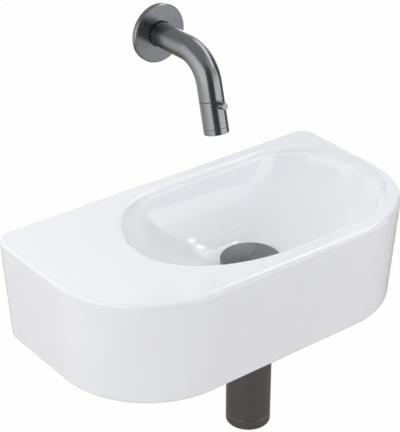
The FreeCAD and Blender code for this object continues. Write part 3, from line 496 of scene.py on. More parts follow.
@dataclass
class FinishRack:
    """One material for each slot, and the bare clay of the ceramic."""

    by_slot: dict[Slot, bpy.types.Material] = field(default_factory=dict)
    bare: bpy.types.Material | None = None

    def fill(self) -> None:
        """Makes every finish once."""
        finishes = {
            Slot.GLAZE: GlazedChina(),
            Slot.GUNMETAL: BrushedGunmetal(),
            # Turned brass is warm yellow, with fine tool marks.
            Slot.BRASS: PlainMetal(
                "turned_brass", "#d8b877", "#b8924e", mottle_mm=1.6, polished=0.20, dull=0.36
            ),
            # Zinc plate is a cool pale grey, clouded in small patches.
            Slot.ZINC: PlainMetal(
                "zinc_plated_steel", "#c9ccd0", "#aeb0ad", mottle_mm=2.5, polished=0.24, dull=0.42
            ),
            # Drawn steel is even and fairly bright.
            Slot.SPRING: PlainMetal(
                "drawn_stainless_steel", "#b4b5b8", "#98999c", mottle_mm=1.0, polished=0.20, dull=0.32
            ),
            # Pressed rubber is nearly black and dull.
            Slot.RUBBER: MouldedPiece(
                "black_epdm_rubber",
                "#232324",
                "#171718",
                grain_mm=0.5,
                grain_depth_mm=0.02,
                smooth=0.60,
                dull=0.78,
                ior=1.50,
            ),
            # Moulded polyamide and acetal have a soft sheen over a fine grain.
            Slot.WHITE_PLASTIC: MouldedPiece(
                "white_moulded_polyamide",
                "#ebebe8",
                "#e0e0dc",
                grain_mm=0.7,
                grain_depth_mm=0.02,
                smooth=0.38,
                dull=0.52,
                ior=1.53,
            ),
            Slot.GREY_PLASTIC: MouldedPiece(
                "grey_moulded_acetal",
                "#9b9ea1",
                "#8a8d90",
                grain_mm=0.7,
                grain_depth_mm=0.02,
                smooth=0.32,
                dull=0.46,
                ior=1.48,
            ),
            # Lapped alumina is ivory and close to polished.
            Slot.ALUMINA: MouldedPiece(
                "lapped_alumina",
                "#f2efe8",
                "#e9e5dc",
                grain_mm=0.3,
                grain_depth_mm=0.004,
                smooth=0.16,
                dull=0.26,
                ior=1.76,
            ),
        }
        self.by_slot = {slot: finish.material() for slot, finish in finishes.items()}
        self.bare = BareChina().material()


def wire(mesh: BMesh, points: Sequence[tuple[float, float, float]], edges: Sequence[float]) -> list[BMEdge]:
    """Draws a closed wire through points and rounds its corners.

    Args:
        mesh: The mesh that takes the wire.
        points: The corners in millimetres.
        edges: The rounding radius of each corner, 0 for a sharp one.

    Returns:
        The edges of the wire.
    """
    known = set(mesh.edges)
    verts = [mesh.verts.new(Vector(point) * MM) for point in points]
    for one, two in zip(verts, verts[1:] + verts[:1]):
        mesh.edges.new((one, two))
    for radius in sorted({edge for edge in edges if edge > 0}):
        round_corners(mesh, [vert for vert, edge in zip(verts, edges) if edge == radius], radius)
    return [edge for edge in mesh.edges if edge not in known]


def round_corners(mesh: BMesh, verts: Sequence[BMVert], radius: float, segments: int | None = None) -> None:
    """Rounds the corners of a wire.

    Args:
        mesh: The mesh that holds the wire.
        verts: The corner vertices.
        radius: How far the rounding reaches along each side, in millimetres.
        segments: How many chords make the arc, or None to choose by the radius.
    """
    bmesh.ops.bevel(
        mesh,
        geom=list(verts),
        offset=radius * MM,
        offset_type="OFFSET",
        segments=segments or (6 if radius > WIDE_EDGE else 4),
        profile=0.5,
        affect="VERTICES",
        material=-1,
    )


def break_edges(mesh: BMesh, edges: Sequence[BMEdge], width: float) -> None:
    """Rounds hard edges.

    Args:
        mesh: The mesh that holds the edges.
        edges: The hard edges.
        width: How far the rounding reaches, in millimetres.
    """
    bmesh.ops.bevel(
        mesh,
        geom=list(edges),
        offset=width * MM,
        offset_type="OFFSET",
        segments=3,
        profile=0.5,
        affect="EDGES",
        material=-1,
    )


def turn(mesh: BMesh, corners: Sequence[Corner], steps: int = 96) -> None:
    """Spins a closed profile all round the local Z axis.

    Args:
        mesh: The mesh that takes the turned shape.
        corners: The profile, in order.
        steps: How many chords make the circle.
    """
    edges = wire(mesh, [(c.radius, 0.0, c.height) for c in corners], [c.edge for c in corners])
    spin_all_round(mesh, edges, steps)


def spin_all_round(mesh: BMesh, edges: Sequence[BMEdge], steps: int) -> None:
    """Spins wire edges a full turn about the local Z axis and closes the poles.

    Args:
        mesh: The mesh that holds the edges.
        edges: The profile's edges.
        steps: How many chords make the circle.
    """
    verts = list({vert for edge in edges for vert in edge.verts})
    bmesh.ops.spin(
        mesh,
        geom=verts + list(edges),
        axis=(0.0, 0.0, 1.0),
        cent=(0.0, 0.0, 0.0),
        angle=2.0 * math.pi,
        steps=steps,
        use_merge=True,
    )
    close_up(mesh)


def close_up(mesh: BMesh) -> None:
    """Merges doubled vertices, drops flattened faces and points every face outwards.

    Args:
        mesh: The mesh.
    """
    bmesh.ops.remove_doubles(mesh, verts=mesh.verts, dist=DOUBLED * MM)
    bmesh.ops.dissolve_degenerate(mesh, edges=mesh.edges, dist=FLATTENED * MM)
    bmesh.ops.recalc_face_normals(mesh, faces=mesh.faces)


def cut_thread(mesh: BMesh, core: float, crest: float, pitch: float, low: float, high: float) -> None:
    """Winds a thread ridge round the local Z axis.

    Args:
        mesh: The mesh that takes the ridge.
        core: Radius of the thread's root.
        crest: Radius of its crest.
        pitch: Rise in one turn.
        low: Height where the ridge starts.
        high: Height where it ends.
    """
    turns = (high - low - pitch) / pitch
    steps = max(1, round(turns * THREAD_STEPS))
    root = core - THREAD_SUNK
    radii = (root, crest, crest, root)
    section = [(radius, 0.0, low + share * pitch) for radius, share in zip(radii, THREAD_SHARES)]
    edges = wire(mesh, section, [0.0] * len(section))
    verts = list({vert for edge in edges for vert in edge.verts})
    bmesh.ops.edgeloop_fill(mesh, edges=edges)
    result = bmesh.ops.spin(
        mesh,
        geom=verts + edges,
        axis=(0.0, 0.0, 1.0),
        cent=(0.0, 0.0, 0.0),
        dvec=(0.0, 0.0, pitch * MM / THREAD_STEPS),
        angle=2.0 * math.pi * steps / THREAD_STEPS,
        steps=steps,
    )
    last = [item for item in result["geom_last"] if isinstance(item, BMEdge)]
    bmesh.ops.edgeloop_fill(mesh, edges=last)


def press_nut(mesh: BMesh, flats: float, bore: float, low: float, height: float) -> None:
    """Makes a hexagon nut about the local Z axis.

    Args:
        mesh: The mesh that takes the nut.
        flats: Its width across the flats.
        bore: Radius of its bore.
        low: Where it starts.
        height: How high it is.
    """
    lift = Matrix.Translation((0.0, 0.0, low * MM))
    corner = flats / math.sqrt(3.0)
    outer = bmesh.ops.create_circle(mesh, segments=6, radius=corner * MM, matrix=lift)["verts"]
    inner = bmesh.ops.create_circle(mesh, segments=48, radius=bore * MM, matrix=lift)["verts"]
    rims = list({edge for vert in outer + inner for edge in vert.link_edges})
    plate = bmesh.ops.bridge_loops(mesh, edges=rims)["faces"]
    raised = bmesh.ops.extrude_face_region(mesh, geom=plate)["geom"]
    verts = [item for item in raised if isinstance(item, BMVert)]
    bmesh.ops.translate(mesh, verts=verts, vec=(0.0, 0.0, height * MM))
    bmesh.ops.recalc_face_normals(mesh, faces=mesh.faces)
    past_bore = (bore + NUT_EDGE) * MM
    hard = [
        edge
        for edge in mesh.edges
        if edge.calc_face_angle(0.0) > math.radians(SMOOTH_ANGLE)
        and all(vert.co.xy.length > past_bore for vert in edge.verts)
    ]
    break_edges(mesh, hard, NUT_EDGE)


def join(mesh: BMesh, other: BMesh) -> None:
    """Adds another mesh to a mesh, UV map and all.

    Args:
        mesh: The mesh that grows.
        other: The mesh that is added and freed.
    """
    data = bpy.data.meshes.new("joined")
    other.to_mesh(data)
    other.free()
    mesh.from_mesh(data)
    bpy.data.meshes.remove(data)


def wrap_turned(mesh: BMesh) -> None:
    """Writes a UV map in millimetres: round the local Z axis, and along the profile.

    Args:
        mesh: The turned mesh, about its own axis.
    """
    layer = mesh.loops.layers.uv.new(TURN_UV)
    reach = max((vert.co.xy.length for vert in mesh.verts), default=1.0)
    for face in mesh.faces:
        middle = face.calc_center_median()
        base = math.atan2(middle.y, middle.x)
        for loop in face.loops:
            spot = loop.vert.co
            swing = 0.0
            if spot.xy.length > SAME_PLACE:
                swing = (math.atan2(spot.y, spot.x) - base + math.pi) % (2.0 * math.pi) - math.pi
            loop[layer].uv = ((base + swing) * reach / MM, (spot.z - spot.xy.length) / MM)


@dataclass
class Piece:
    """A finished object, what it rides on and where its finish comes from."""

    thing: bpy.types.Object
    body: Body
    slot: Slot


@dataclass
class SubAssembly:
    """What every sub-assembly shares: the pieces it has made and how they are put in the scene."""

    pieces: list[Piece] = field(default_factory=list, init=False)

    def place(
        self, mesh: BMesh, node: str, slot: Slot, body: Body = Body.FIXTURE, matrix: Matrix | None = None
    ) -> Piece:
        """Puts a finished mesh in the scene in place of a CAD node.

        Args:
            mesh: The mesh, which is freed.
            node: The CAD node that the piece stands for.
            slot: The material slot of its finish.
            body: The body it rides on.
            matrix: Where it goes, or None where it is modelled in place.

        Returns:
            The piece.
        """
        if matrix is not None:
            bmesh.ops.transform(mesh, matrix=matrix, verts=mesh.verts)
        for face in mesh.faces:
            face.smooth = True
        for edge in mesh.edges:
            flat = edge.calc_face_angle(0.0) < math.radians(SMOOTH_ANGLE)
            edge.smooth = len(edge.link_faces) == 2 and flat
        data = bpy.data.meshes.new(f"{node}_form")
        mesh.to_mesh(data)
        mesh.free()
        thing = bpy.data.objects.new(f"{node}_form", data)
        bpy.context.scene.collection.objects.link(thing)
        even = thing.modifiers.new("even_normals", "WEIGHTED_NORMAL")
        even.keep_sharp = True
        even.weight = NORMAL_WEIGHT
        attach(thing, body.value)
        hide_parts(node)
        piece = Piece(thing, body, slot)
        self.pieces.append(piece)
        return piece

    def turned(
        self,
        node: str,
        corners: Sequence[Corner],
        datum: Datum,
        slot: Slot = Slot.GUNMETAL,
        body: Body = Body.FIXTURE,
        steps: int = 96,
    ) -> Piece:
        """Turns a piece from its profile.

        Args:
            node: The CAD node that the piece stands for.
            corners: The profile in the datum's own frame.
            datum: The axis it is turned about.
            slot: The material slot of its finish.
            body: The body it rides on.
            steps: How many chords make the circle.

        Returns:
            The piece.
        """
        mesh = bmesh.new()
        turn(mesh, corners, steps)
        wrap_turned(mesh)
        return self.place(mesh, node, slot, body, datum.matrix())

    def build(self) -> None:
        """Makes the meshes."""
        raise NotImplementedError

    def dress(self, rack: FinishRack) -> None:
        """Gives each piece its finish.

        Args:
            rack: The finishes.
        """
        for piece in self.pieces:
            piece.thing.data.materials.append(rack.by_slot[piece.slot])
            log.info("%s rides on %s in %s", piece.thing.name, piece.body.value, piece.slot.value)


@dataclass
class Ring:
    """One level outline of the ceramic, and the height that it belongs at."""

    edges: list[BMEdge]
    height: float

    def lift(self, height: float) -> None:
        """Moves the outline to a height.

        Args:
            height: The height in millimetres.
        """
        for vert in {vert for edge in self.edges for vert in edge.verts}:
            vert.co.z = height * MM


@dataclass
class CeramicBasin(SubAssembly):
    """The ceramic: a drafted skirt with a flat deck, and a free-form bowl hung in it off centre."""

    half_width: float = 200.0
    depth: float = 215.0
    rim: float = 88.0
    foot: float = -26.0
    draw_in: float = 7.5
    front_corner: float = 108.0
    back_corner: float = 18.0
    rim_edge: float = 5.0
    foot_edge: float = 5.5
    skirt_wall: float = 10.0
    back_wall: float = 12.0
    deck: float = 12.0
    inner_back_corner: float = 11.0
    bowl_left: float = -105.5
    bowl_right: float = 186.0
    bowl_front: float = -193.5
    bowl_back: float = -21.0
    bowl_depth: float = 75.0
    bowl_front_corner: float = 94.0
    bowl_back_corner: float = 75.9
    bowl_tip_ahead: float = 5.7
    bowl_tip_round: float = 0.73
    bowl_tip_turn: float = 55.0
    bowl_edge: float = 5.0
    bowl_wall: float = 9.5
    fullness: float = 1.5
    drain: tuple[float, float] = DRAIN.origin[:2]
    seat: float = 31.5
    seat_along: float = 4.0
    seat_across: float = 3.0
    recess: float = 32.0
    recess_depth: float = 4.0
    drain_hole: float = 23.0
    stud_spacing: float = 2.0 * STUD.origin[0]
    stud_hole: float = 7.0
    stud_patch: float = 10.0
    stud_steps: int = 48
    least_corner: float = 1.0
    # What is left of a straight side where two roundings nearly meet.
    corner_gap: float = 0.1
    deck_margin: float = 1.5
    edge_margin: float = 1.0
    # How far each ring rises, and how far it lies inside the wall, at the foot's inner lip.
    foot_lip: tuple[tuple[float, float], ...] = ((0.0, 1.5), (0.5, 0.5), (1.8, 0.0))
    # How far each ring drops, and how far it lies inside the wall, at the roof of the hollow.
    roof_cove: tuple[tuple[float, float], ...] = ((4.0, 0.0), (1.2, -0.3), (0.0, -1.0))
    # How far each ring lies outside the recess, and below the bowl's floor, at the recess's lip.
    recess_lip: tuple[tuple[float, float], ...] = ((0.0, 0.7), (0.3, 0.1), (1.0, 0.0))
    corner_steps: int = 30
    long_cuts: int = 12
    short_cuts: int = 4
    edge_steps: int = 10
    shell_steps: int = 26
    bowl_steps: int = 44
    lip_steps: int = 8
    # How far apart the rings are held while they are bridged.
    spread: float = 20.0

    def ring(
        self,
        mesh: BMesh,
        sides: tuple[float, float, float, float],
        corners: tuple[float, float, float, float],
        height: float,
        stretch: float = 1.0,
    ) -> Ring:
        """Draws one level outline: a rectangle with a rounding of its own at each corner.

        Args:
            mesh: The mesh that takes the ring.
            sides: Left, right, front and back of the rectangle.
            corners: Radii at front left, front right, back right and back left.
            height: Its level.
            stretch: How many times longer than wide the rounding at front left is.

        Returns:
            The ring.
        """
        left, right, front, back = sides
        known = set(mesh.edges)
        spots = ((left, front), (right, front), (right, back), (left, back))
        verts = [mesh.verts.new(Vector((x, y, 0.0)) * MM) for x, y in spots]
        for one, two in zip(verts, verts[1:] + verts[:1]):
            mesh.edges.new((one, two))
        for vert, radius in zip(verts, corners):
            round_corners(mesh, [vert], radius, self.corner_steps)
        if stretch != 1.0:
            new = {vert for edge in mesh.edges if edge not in known for vert in edge.verts}
            limit_x = (left + corners[0]) * MM + SAME_PLACE
            limit_y = (front + corners[0]) * MM + SAME_PLACE
            long_end = [vert for vert in new if vert.co.x < limit_x and vert.co.y < limit_y]
            pivot = Matrix.Translation((-left * MM, 0.0, 0.0))
            bmesh.ops.scale(mesh, vec=(stretch, 1.0, 1.0), space=pivot, verts=long_end)
        for axis, side, cuts in (
            (1, front, self.long_cuts),
            (0, right, self.short_cuts),
            (1, back, self.long_cuts),
        ):
            straight = [
                edge
                for edge in mesh.edges
                if edge not in known
                and all(abs(vert.co[axis] - side * MM) < SAME_PLACE for vert in edge.verts)
            ]
            bmesh.ops.subdivide_edges(mesh, edges=straight, cuts=cuts)
        return Ring([edge for edge in mesh.edges if edge not in known], height)

    def outside(self, mesh: BMesh, inset: float, height: float) -> Ring:
        """A ring of the outer skin, drawn in from the outline at the rim.

        Args:
            mesh: The mesh that takes the ring.
            inset: How far it is drawn in at the front and the sides.
            height: Its level.

        Returns:
            The ring.
        """
        lean = self.draw_in * (self.rim - height) / (self.rim - self.foot)
        back = max(inset - lean, 0.0)
        side = self.half_width - inset
        front = inset - self.depth
        wide = self.front_corner - inset
        narrow = max(self.back_corner - back, self.least_corner)
        return self.ring(mesh, (-side, side, front, -back), (wide, wide, narrow, narrow), height)

    def cavity(self, mesh: BMesh, height: float, spare: float = 0.0) -> Ring:
        """A ring of the hollow under the deck.

        Args:
            mesh: The mesh that takes the ring.
            height: Its level.
            spare: How far it lies inside the ceramic's own wall.

        Returns:
            The ring.
        """
        inset = self.draw_in * (self.rim - height) / (self.rim - self.foot) + self.skirt_wall - spare
        side = self.half_width - inset
        wide = self.front_corner - inset
        narrow = self.inner_back_corner + spare
        sides = (-side, side, inset - self.depth, spare - self.back_wall)
        return self.ring(mesh, sides, (wide, wide, narrow, narrow), height)

    def bowl(self, mesh: BMesh, share: float, height: float, grow: float) -> Ring:
        """A ring of the bowl, between its rim outline and the seat round the drain.

        Args:
            mesh: The mesh that takes the ring.
            share: 0 at the rim outline and 1 at the seat.
            height: Its level.
            grow: How far it lies outside the bowl's inner skin.

        Returns:
            The ring.
        """
        seat = self.seat + grow

        def between(rim: float, floor: float) -> float:
            """Goes from a size at the rim to one at the floor."""
            return rim + (floor - rim) * share

        half_x = between((self.bowl_right - self.bowl_left) / 2 + grow, seat + self.seat_along)
        half_y = between((self.bowl_back - self.bowl_front) / 2 + grow, seat + self.seat_across)
        x = between((self.bowl_right + self.bowl_left) / 2, self.drain[0])
        y = between((self.bowl_back + self.bowl_front) / 2, self.drain[1])
        front = between(self.bowl_front_corner + grow, seat)
        back = between(self.bowl_back_corner + grow, seat)
        ahead = between(self.bowl_tip_ahead, 0.0)
        turn_angle = math.radians(self.bowl_tip_turn)
        tight = between(self.bowl_tip_round, 1.0)
        wide = (1.0 - tight * math.sin(turn_angle)) / (1.0 - math.sin(turn_angle))
        stretch = tight + (wide - tight) * math.cos(turn_angle)
        sides = (x - half_x, x + half_x, y - half_y, y + half_y)
        tip = half_y - self.corner_gap
        corners = (tip - ahead, front, back, tip + ahead)
        return self.ring(mesh, sides, corners, height, stretch)

    def disc(self, mesh: BMesh, radius: float, height: float) -> Ring:
        """A round ring about the drain.

        Args:
            mesh: The mesh that takes the ring.
            radius: Its radius.
            height: Its level.

        Returns:
            The ring.
        """
        x, y = self.drain
        curve = radius - self.corner_gap / 2
        sides = (x - radius, x + radius, y - radius, y + radius)
        return self.ring(mesh, sides, (curve, curve, curve, curve), height)

    def skirt_rings(self, mesh: BMesh) -> list[Ring]:
        """The rings from the deck's outer edge down the skirt and round the foot's edge.

        Args:
            mesh: The mesh that takes the rings.

        Returns:
            The rings in order.
        """
        slope = self.draw_in / (self.rim - self.foot)
        lean = math.atan(slope)
        longer = math.hypot(1.0, slope)
        rings = []
        middle = self.rim - self.rim_edge
        inset = slope * self.rim_edge + self.rim_edge * longer
        rings.append(self.outside(mesh, inset + self.deck_margin, self.rim))
        for step in range(self.edge_steps + 1):
            angle = math.pi / 2 - (math.pi / 2 + lean) * step / self.edge_steps
            out = inset - self.rim_edge * math.cos(angle)
            rings.append(self.outside(mesh, out, middle + self.rim_edge * math.sin(angle)))
        upper = middle - self.rim_edge * math.sin(lean) - self.edge_margin
        middle = self.foot + self.foot_edge
        inset = slope * (self.rim - middle) + self.foot_edge * longer
        lower = middle - self.foot_edge * math.sin(lean) + self.edge_margin
        for height in (upper, lower):
            rings.append(self.outside(mesh, slope * (self.rim - height), height))
        for step in range(self.edge_steps + 1):
            angle = -lean - (math.pi / 2 - lean) * step / self.edge_steps
            out = inset - self.foot_edge * math.cos(angle)
            rings.append(self.outside(mesh, out, middle + self.foot_edge * math.sin(angle)))
        return rings

    def hollow_rings(self, mesh: BMesh) -> list[Ring]:
        """The rings from the foot's inner edge up the inside of the skirt to the roof of the hollow.

        Args:
            mesh: The mesh that takes the rings.

        Returns:
            The rings in order.
        """
        rings = [self.cavity(mesh, self.foot + rise, spare) for rise, spare in self.foot_lip]
        roof = self.rim - self.deck
        for drop, spare in self.roof_cove:
            rings.append(self.cavity(mesh, roof - drop, spare))
        return rings

    def shell_rings(self, mesh: BMesh) -> list[Ring]:
        """The rings from the roof of the hollow down the bowl's underside to the drain.

        Args:
            mesh: The mesh that takes the rings.

        Returns:
            The rings in order.
        """
        power = 2.0 / self.fullness
        below = self.rim - self.bowl_depth - self.bowl_wall
        top = self.rim - self.deck / 2
        deep = top - below
        first = math.asin(((self.deck / 2) / deep) ** (1.0 / power))
        rings = []
        for step in range(self.shell_steps + 1):
            angle = first + (math.pi / 2 - first) * step / self.shell_steps
            share = 1.0 - max(math.cos(angle), 0.0) ** power
            rings.append(self.bowl(mesh, share, top - deep * math.sin(angle) ** power, self.bowl_wall))
        rings.append(self.disc(mesh, self.drain_hole, below))
        return rings

    def bowl_rings(self, mesh: BMesh) -> list[Ring]:
        """The rings from the drain up the bowl to the deck's inner edge.

        Args:
            mesh: The mesh that takes the rings.

        Returns:
            The rings in order.
        """
        power = 2.0 / self.fullness
        floor = self.rim - self.bowl_depth
        rings = [self.disc(mesh, self.drain_hole, floor - self.recess_depth)]
        for out, drop in ((0.0, self.recess_depth), *self.recess_lip):
            rings.append(self.disc(mesh, self.recess + out, floor - drop))
        first = math.asin((self.bowl_edge / self.bowl_depth) ** (1.0 / power))
        for step in range(self.bowl_steps):
            angle = math.pi / 2 + (first - math.pi / 2) * step / self.bowl_steps
            share = 1.0 - max(math.cos(angle), 0.0) ** power
            rings.append(self.bowl(mesh, share, self.rim - self.bowl_depth * math.sin(angle) ** power, 0.0))
        for step in range(self.lip_steps + 1):
            angle = math.pi / 2 * (1.0 - step / self.lip_steps)
            out = self.bowl_edge * (1.0 - math.sin(angle))
            rings.append(self.bowl(mesh, 0.0, self.rim - self.bowl_edge * (1.0 - math.cos(angle)), out))
        rings.append(self.bowl(mesh, 0.0, self.rim, self.bowl_edge + self.deck_margin))
        return rings

    def drill_studs(self, mesh: BMesh) -> None:
        """Opens the two stud holes through the back wall.

        Args:
            mesh: The basin's mesh.
        """
        half = self.stud_patch
        for side in (-0.5, 0.5):
            middle = self.stud_spacing * side
            rounds = []
            for y in (0.0, -self.back_wall):
                for axis, at in ((0, middle - half), (0, middle + half), (2, -half), (2, half)):
                    self.score(mesh, y, axis, at)
                patch = [
                    face
                    for face in self.back_faces(mesh, y)
                    if abs(face.calc_center_median().x / MM - middle) < half
                    and abs(face.calc_center_median().z / MM) < half
                ]
                inside = set(patch)
                border = [
                    edge
                    for edge in {edge for face in patch for edge in face.edges}
                    if sum(face in inside for face in edge.link_faces) == 1
                ]
                bmesh.ops.delete(mesh, geom=patch, context="FACES")
                spot = Matrix.Translation(Vector((middle, y, 0.0)) * MM)
                made = bmesh.ops.create_circle(
                    mesh,
                    segments=self.stud_steps,
                    radius=self.stud_hole * MM,
                    matrix=spot @ Matrix.Rotation(math.pi / 2, 4, "X"),
                )
                loop = list({edge for vert in made["verts"] for edge in vert.link_edges})
                bmesh.ops.bridge_loops(mesh, edges=border + loop)
                rounds.append(loop)
            bmesh.ops.bridge_loops(mesh, edges=rounds[0] + rounds[1])

    def back_faces(self, mesh: BMesh, y: float) -> list[bmesh.types.BMFace]:
        """The faces that lie in a plane parallel to the wall.

        Args:
            mesh: The basin's mesh.
            y: The plane's place.

        Returns:
            The faces.
        """
        return [
            face for face in mesh.faces if all(abs(vert.co.y - y * MM) < SAME_PLACE for vert in face.verts)
        ]

    def score(self, mesh: BMesh, y: float, axis: int, at: float) -> None:
        """Cuts the faces of a plane parallel to the wall along a line.

        Args:
            mesh: The basin's mesh.
            y: The plane's place.
            axis: 0 for an upright line, 2 for a level one.
            at: The line's place on that axis.
        """
        faces = self.back_faces(mesh, y)
        edges = list({edge for face in faces for edge in face.edges})
        spot = Vector((0.0, 0.0, 0.0))
        spot[axis] = at * MM
        normal = Vector((0.0, 0.0, 0.0))
        normal[axis] = 1.0
        verts = list({vert for face in faces for vert in face.verts})
        bmesh.ops.bisect_plane(
            mesh, geom=verts + edges + faces, dist=SAME_PLACE, plane_co=spot, plane_no=normal
        )

    def build(self) -> None:
        """Bridges the rings to one closed skin and drills the stud holes."""
        mesh = bmesh.new()
        thin_tone_and_edge_shade = mesh.verts.layers.float.new(EDGE_SHADE)
        skirt = self.skirt_rings(mesh)
        hollow = self.hollow_rings(mesh)
        shell = self.shell_rings(mesh)
        bowl = self.bowl_rings(mesh)
        loop = skirt + hollow + shell + bowl
        for place, ring in enumerate(loop):
            ring.lift(place * self.spread)
        for count, (one, two) in enumerate(zip(loop, loop[1:] + loop[:1]), 1):
            strip = bmesh.ops.bridge_loops(mesh, edges=one.edges + two.edges)["faces"]
            bare = len(skirt) <= count < len(skirt) + len(hollow) + len(shell)
            for face in strip:
                face.material_index = (Facing.BARE if bare else Facing.GLAZED).value
        for ring in loop:
            ring.lift(ring.height)
        # Painted shade: a mask, strongest halfway round the rim's rounding and the bowl's lip, that darkens
        # the glaze there.
        for edge_rings in (skirt[: self.edge_steps + 3], bowl[-self.lip_steps - 2 :]):
            for place, ring in enumerate(edge_rings):
                for vert in {vert for edge in ring.edges for vert in edge.verts}:
                    vert[thin_tone_and_edge_shade] = math.sin(math.pi * place / (len(edge_rings) - 1))
        for face in self.back_faces(mesh, 0.0):
            face.material_index = Facing.BARE.value
        self.drill_studs(mesh)
        bmesh.ops.recalc_face_normals(mesh, faces=mesh.faces)
        self.place(mesh, "basin", Slot.GLAZE)

    def dress(self, rack: FinishRack) -> None:
        """Glazes the skin and leaves the back, the foot and the hollow bare.

        Args:
            rack: The finishes.
        """
        super().dress(rack)
        for piece in self.pieces:
            piece.thing.data.materials.append(rack.bare)


@dataclass
class WallFixing(SubAssembly):
    """Two hanger bolts with their washers and nuts behind the skirt."""

    stud: float = 4.0
    stud_core: float = 3.35
    stud_pitch: float = 1.25
    screw: float = 3.8
    screw_core: float = 2.7
    screw_pitch: float = 3.2
    in_wall: float = 55.0
    point: float = 6.0
    end: float = 28.1
    shoulder: float = 1.0
    shoulder_taper: float = 1.0
    run_out: float = 0.4
    thread_start: float = 0.6
    washer_bore: float = 4.2
    washer: float = 11.0
    washer_low: float = 15.0
    washer_top: float = 16.6
    nut_flats: float = 13.0
    nut_height: float = 6.5

    def twin(self, mesh: BMesh) -> None:
        """Copies a piece at the right stud to the left one.

        Args:
            mesh: The mesh, placed at the right stud.
        """
        copy = bmesh.ops.duplicate(mesh, geom=mesh.verts[:] + mesh.edges[:] + mesh.faces[:])
        verts = [item for item in copy["geom"] if isinstance(item, BMVert)]
        bmesh.ops.translate(mesh, verts=verts, vec=Vector((-2.0 * STUD.origin[0] * MM, 0.0, 0.0)))

    def build(self) -> None:
        """Turns the studs and washers, and presses the nuts."""
        studs = bmesh.new()
        screw_end = -self.shoulder - self.shoulder_taper
        turn(
            studs,
            [
                Corner(0.0, -self.in_wall - self.point),
                Corner(self.screw_core, -self.in_wall),
                Corner(self.screw_core, screw_end, edge=0.3),
                Corner(self.screw, -self.shoulder),
                Corner(self.screw, 0.0),
                Corner(self.stud_core, self.run_out),
                Corner(self.stud_core, self.end, edge=0.4),
                Corner(0.0, self.end),
            ],
            steps=40,
        )
        cut_thread(studs, self.screw_core, self.screw, self.screw_pitch, -self.in_wall, screw_end)
        top = self.end - self.run_out
        cut_thread(studs, self.stud_core, self.stud, self.stud_pitch, self.thread_start, top)
        close_up(studs)
        bmesh.ops.transform(studs, matrix=STUD.matrix(), verts=studs.verts)
        self.twin(studs)
        self.place(studs, "wall_studs", Slot.ZINC)

        washers = bmesh.new()
        turn(
            washers,
            [
                Corner(self.washer_bore, self.washer_low, edge=0.2),
                Corner(self.washer, self.washer_low, edge=0.25),
                Corner(self.washer, self.washer_top, edge=0.25),
                Corner(self.washer_bore, self.washer_top, edge=0.2),
            ],
            steps=64,
        )
        bmesh.ops.transform(washers, matrix=STUD.matrix(), verts=washers.verts)
        self.twin(washers)
        self.place(washers, "stud_washers", Slot.ZINC)

        nuts = bmesh.new()
        press_nut(nuts, self.nut_flats, self.stud + FIT, self.washer_top, self.nut_height)
        bmesh.ops.transform(nuts, matrix=STUD.matrix(), verts=nuts.verts)
        self.twin(nuts)
        self.place(nuts, "stud_nuts", Slot.ZINC)


